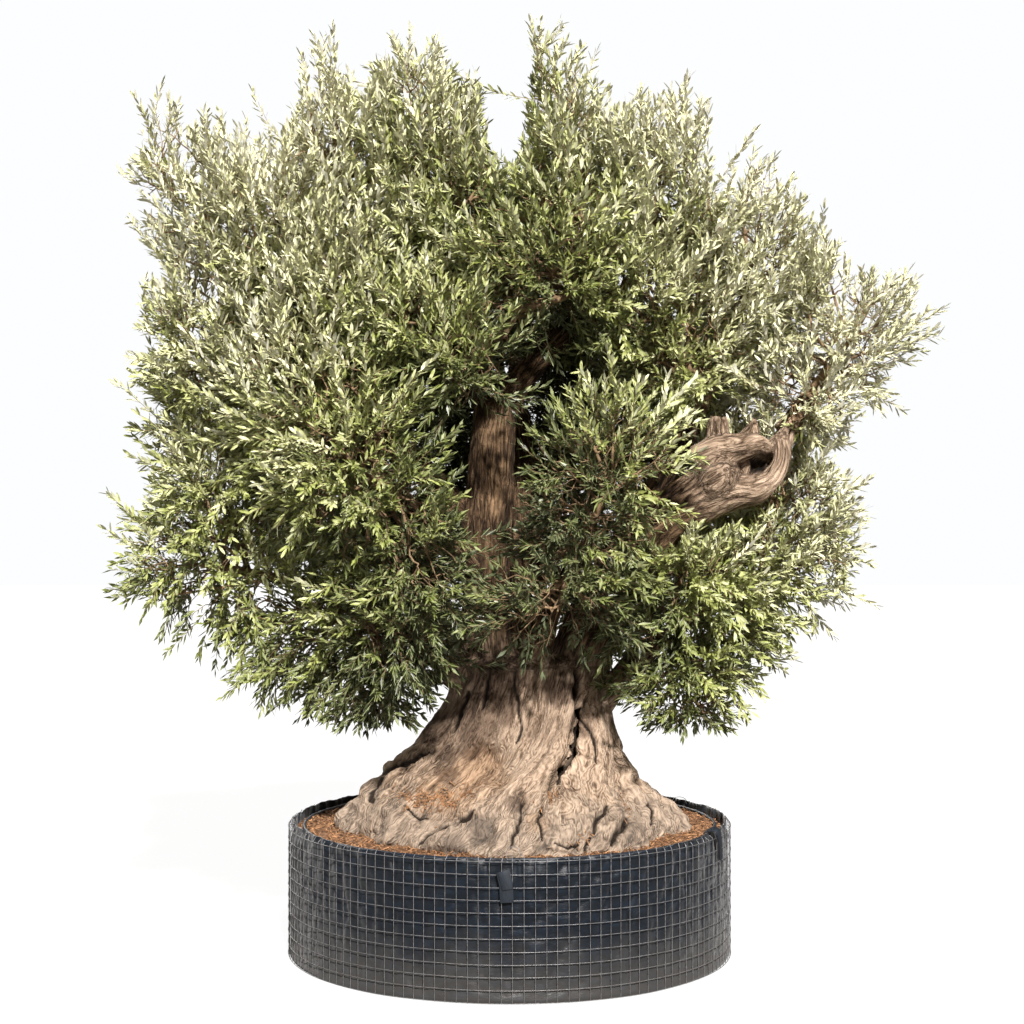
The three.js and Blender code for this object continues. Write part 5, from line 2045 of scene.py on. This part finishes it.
def strip(line, across, wide, thick):
    """A flat strap along a line: its points and faces, closed round its section."""
    ways = unit(np.gradient(line, axis=0))
    across = unit(across - ways * (across * ways).sum(axis=1, keepdims=True))
    normal = np.cross(ways, across)
    section = ((-1, -0.6), (-0.96, -1), (0.96, -1), (1, -0.6), (1, 0.6), (0.96, 1), (-0.96, 1), (-1, 0.6))
    rows = [line + across * (u * wide / 2) + normal * (v * thick / 2) for u, v in section]
    points = np.stack(rows, axis=1).reshape(-1, 3)
    return points, grid_faces(len(line), len(section))


def make_strap(black):
    """A strap end folded over a hoop and hanging at the front of the cage."""
    upright = wire_rings()[1]
    angle = math.radians(STRAP["angle"])
    out = np.array((math.cos(angle), math.sin(angle), 0))
    side = np.array((-out[1], out[0], 0))
    share = np.linspace(0, 1, 22)
    drop = STRAP["top"] - STRAP["long"] * share
    away = upright + 5.5 + 3 * np.sin(share * 3.2) - 2 * np.exp(-share * 18)
    sway = -math.tan(math.radians(STRAP["lean"])) * (share - 0.5) * STRAP["long"] + 4 * np.sin(share * 4)
    line = out * away[:, None] + side * sway[:, None] + np.array((0, 0, 1.0)) * drop[:, None]
    tones = shades(black, ((0.3, 0.8), (0.7, 1.5)))
    web = plain_material("strap_web", tones, 160, 0.7, 0.0015, (1, 1, 0.25))
    main_part = strip(line, np.tile(side, (22, 1)), STRAP["wide"], STRAP["thick"])
    low_line = line[:13] + out * 5 + side * 8 * share[:13, None]
    tipped = np.tile(side + np.array((0, 0, 0.18)), (13, 1))
    flap = strip(low_line, tipped, STRAP["wide"] * 0.8, STRAP["thick"])
    place(mesh_object("strap_tab", *gathered([main_part, flap])), web, "strap", "strap_end")


def make_loops():
    """A strap's loop hanging inside the rim on the right, and thin wires on the soil."""
    share = np.linspace(0, 1, 30)
    outside = wire_rings()[1] + 7
    radius = outside - 60 + 60 * smoothstep(0, 0.22, share) + 5 * np.sin(share * 5)
    angle = np.radians(LOOP["angle"] + 5 * share)
    up = LOOP["top"] + 34 * bump((share - 0.14) / 0.12) - LOOP["long"] * smoothstep(0.16, 1.1, share)
    across = np.stack([-np.sin(angle), np.cos(angle), 0.35 + 0 * angle], axis=-1)
    band = strip(on_ring(angle, radius, up), across, LOOP["wide"], LOOP["thick"])
    place(mesh_object("strap_loop", *band), bpy.data.materials["strap_web"], "strap")
    parts = []
    for at, wide, tall, lean in LOOSE_WIRES:
        turn = np.linspace(-0.4, 2 * math.pi - 0.9, 34)
        rise = np.sin(turn)
        ring = np.stack([wide * np.cos(turn), lean * wide * rise, tall / 2 * (1 + rise)], axis=-1)
        parts.append(tube(ring + at, np.full(len(turn), 1.3), 5))
    place(mesh_object("loose_wire", *gathered(parts)), bpy.data.materials["cage_wire"], "wire")


class OLIVE_OT_stage(bpy.types.Operator):
    """Make the floor, the lights and the camera"""

    bl_idname = "olive.stage"
    bl_label = "Stage"

    def execute(self, context):
        settings = context.scene.olive_stage
        make_floor()
        make_lights(settings)
        make_camera(settings)
        return {"FINISHED"}


def make_floor():
    bpy.ops.mesh.primitive_plane_add(size=90, location=(0, 0, -0.002))
    floor = bpy.context.active_object
    floor.name = "stage_floor"
    material, tree, shader = new_material("stage_white")
    seen = add_node(tree, "ShaderNodeLightPath").outputs["Is Camera Ray"]
    shade = mix(tree, seen, (0.2, 0.2, 0.2, 1), (0.08, 0.08, 0.08, 1))
    set_inputs(tree, shader, {
        "Base Color": shade, "Roughness": 0.9, "Specular IOR Level": 0.0,
        "Emission Color": (1, 1, 1, 1), "Emission Strength": math_node(tree, "MULTIPLY", seen, 0.94)})
    floor.data.materials.append(material)
    floor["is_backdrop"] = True


def make_lights(settings):
    world = bpy.data.worlds.new("studio")
    world.use_nodes = True
    tree = world.node_tree
    background = tree.nodes["Background"]
    seen = add_node(tree, "ShaderNodeLightPath").outputs["Is Camera Ray"]
    tree.links.new(mix(tree, seen, (1, 0.9, 0.76, 1), (0.98, 0.99, 1, 1)), background.inputs["Color"])
    tree.links.new(mix_value(tree, seen, settings.sky, 1.0), background.inputs["Strength"])
    bpy.context.scene.world = world
    bpy.context.scene.view_settings.view_transform = "Standard"
    make_sun("key", settings.sun, 4, (1.0, 0.97, 0.945), (53, 12))
    make_sun("fill", settings.fill, 25, (1.0, 0.97, 0.92), (58, 205))


def make_sun(name, strength, spread, tint, aim):
    """A light from far away, tipped from straight down and then turned about the upright."""
    light = bpy.data.lights.new(name, "SUN")
    light.energy = strength
    light.angle = math.radians(spread)
    light.color = tint
    made = bpy.data.objects.new(name, light)
    made.rotation_euler = (math.radians(aim[0]), 0, math.radians(aim[1]))
    bpy.context.scene.collection.objects.link(made)


def make_camera(settings):
    data = bpy.data.cameras.new("view")
    data.lens = settings.lens
    data.sensor_width = 36
    data.shift_x = 0.0024
    data.shift_y = 0.0068
    data.clip_end = 200
    camera = bpy.data.objects.new("view", data)
    camera.location = (0, -settings.distance, settings.eye)
    camera.rotation_euler = (math.radians(90), 0, 0)
    bpy.context.scene.collection.objects.link(camera)
    bpy.context.scene.camera = camera


class OLIVE_PT_panel(bpy.types.Panel):
    """The steps that make the tree, in order"""

    bl_idname = "OLIVE_PT_panel"
    bl_label = "Olive tree"
    bl_space_type = "VIEW_3D"
    bl_region_type = "UI"
    bl_category = "Olive tree"

    def draw(self, context):
        for group in (context.scene.olive_wood, context.scene.olive_foliage,
                      context.scene.olive_crate, context.scene.olive_stage):
            box = self.layout.box()
            for key in group.bl_rna.properties.keys():
                if key not in ("rna_type", "name"):
                    box.prop(group, key)
        for step in STEPS:
            self.layout.operator(step.bl_idname)


SETTINGS = {
    "olive_wood": OliveWoodSettings,
    "olive_foliage": OliveFoliageSettings,
    "olive_crate": OliveCrateSettings,
    "olive_stage": OliveStageSettings,
}
STEPS = (
    OLIVE_OT_wood, OLIVE_OT_foliage, OLIVE_OT_crate, OLIVE_OT_ground, OLIVE_OT_fittings, OLIVE_OT_stage,
)


def register():
    for kind in (*SETTINGS.values(), *STEPS, OLIVE_PT_panel):
        bpy.utils.register_class(kind)
    for name, kind in SETTINGS.items():
        setattr(bpy.types.Scene, name, bpy.props.PointerProperty(type=kind))


def unregister():
    for name in SETTINGS:
        delattr(bpy.types.Scene, name)
    for kind in (OLIVE_PT_panel, *reversed(STEPS), *reversed(tuple(SETTINGS.values()))):
        bpy.utils.unregister_class(kind)


def main():
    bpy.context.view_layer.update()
    register()
    bpy.ops.olive.wood()
    bpy.ops.olive.foliage()
    bpy.ops.olive.crate()
    bpy.ops.olive.ground()
    bpy.ops.olive.fittings()
    bpy.ops.olive.stage()


if __name__ == "__main__":
    main()
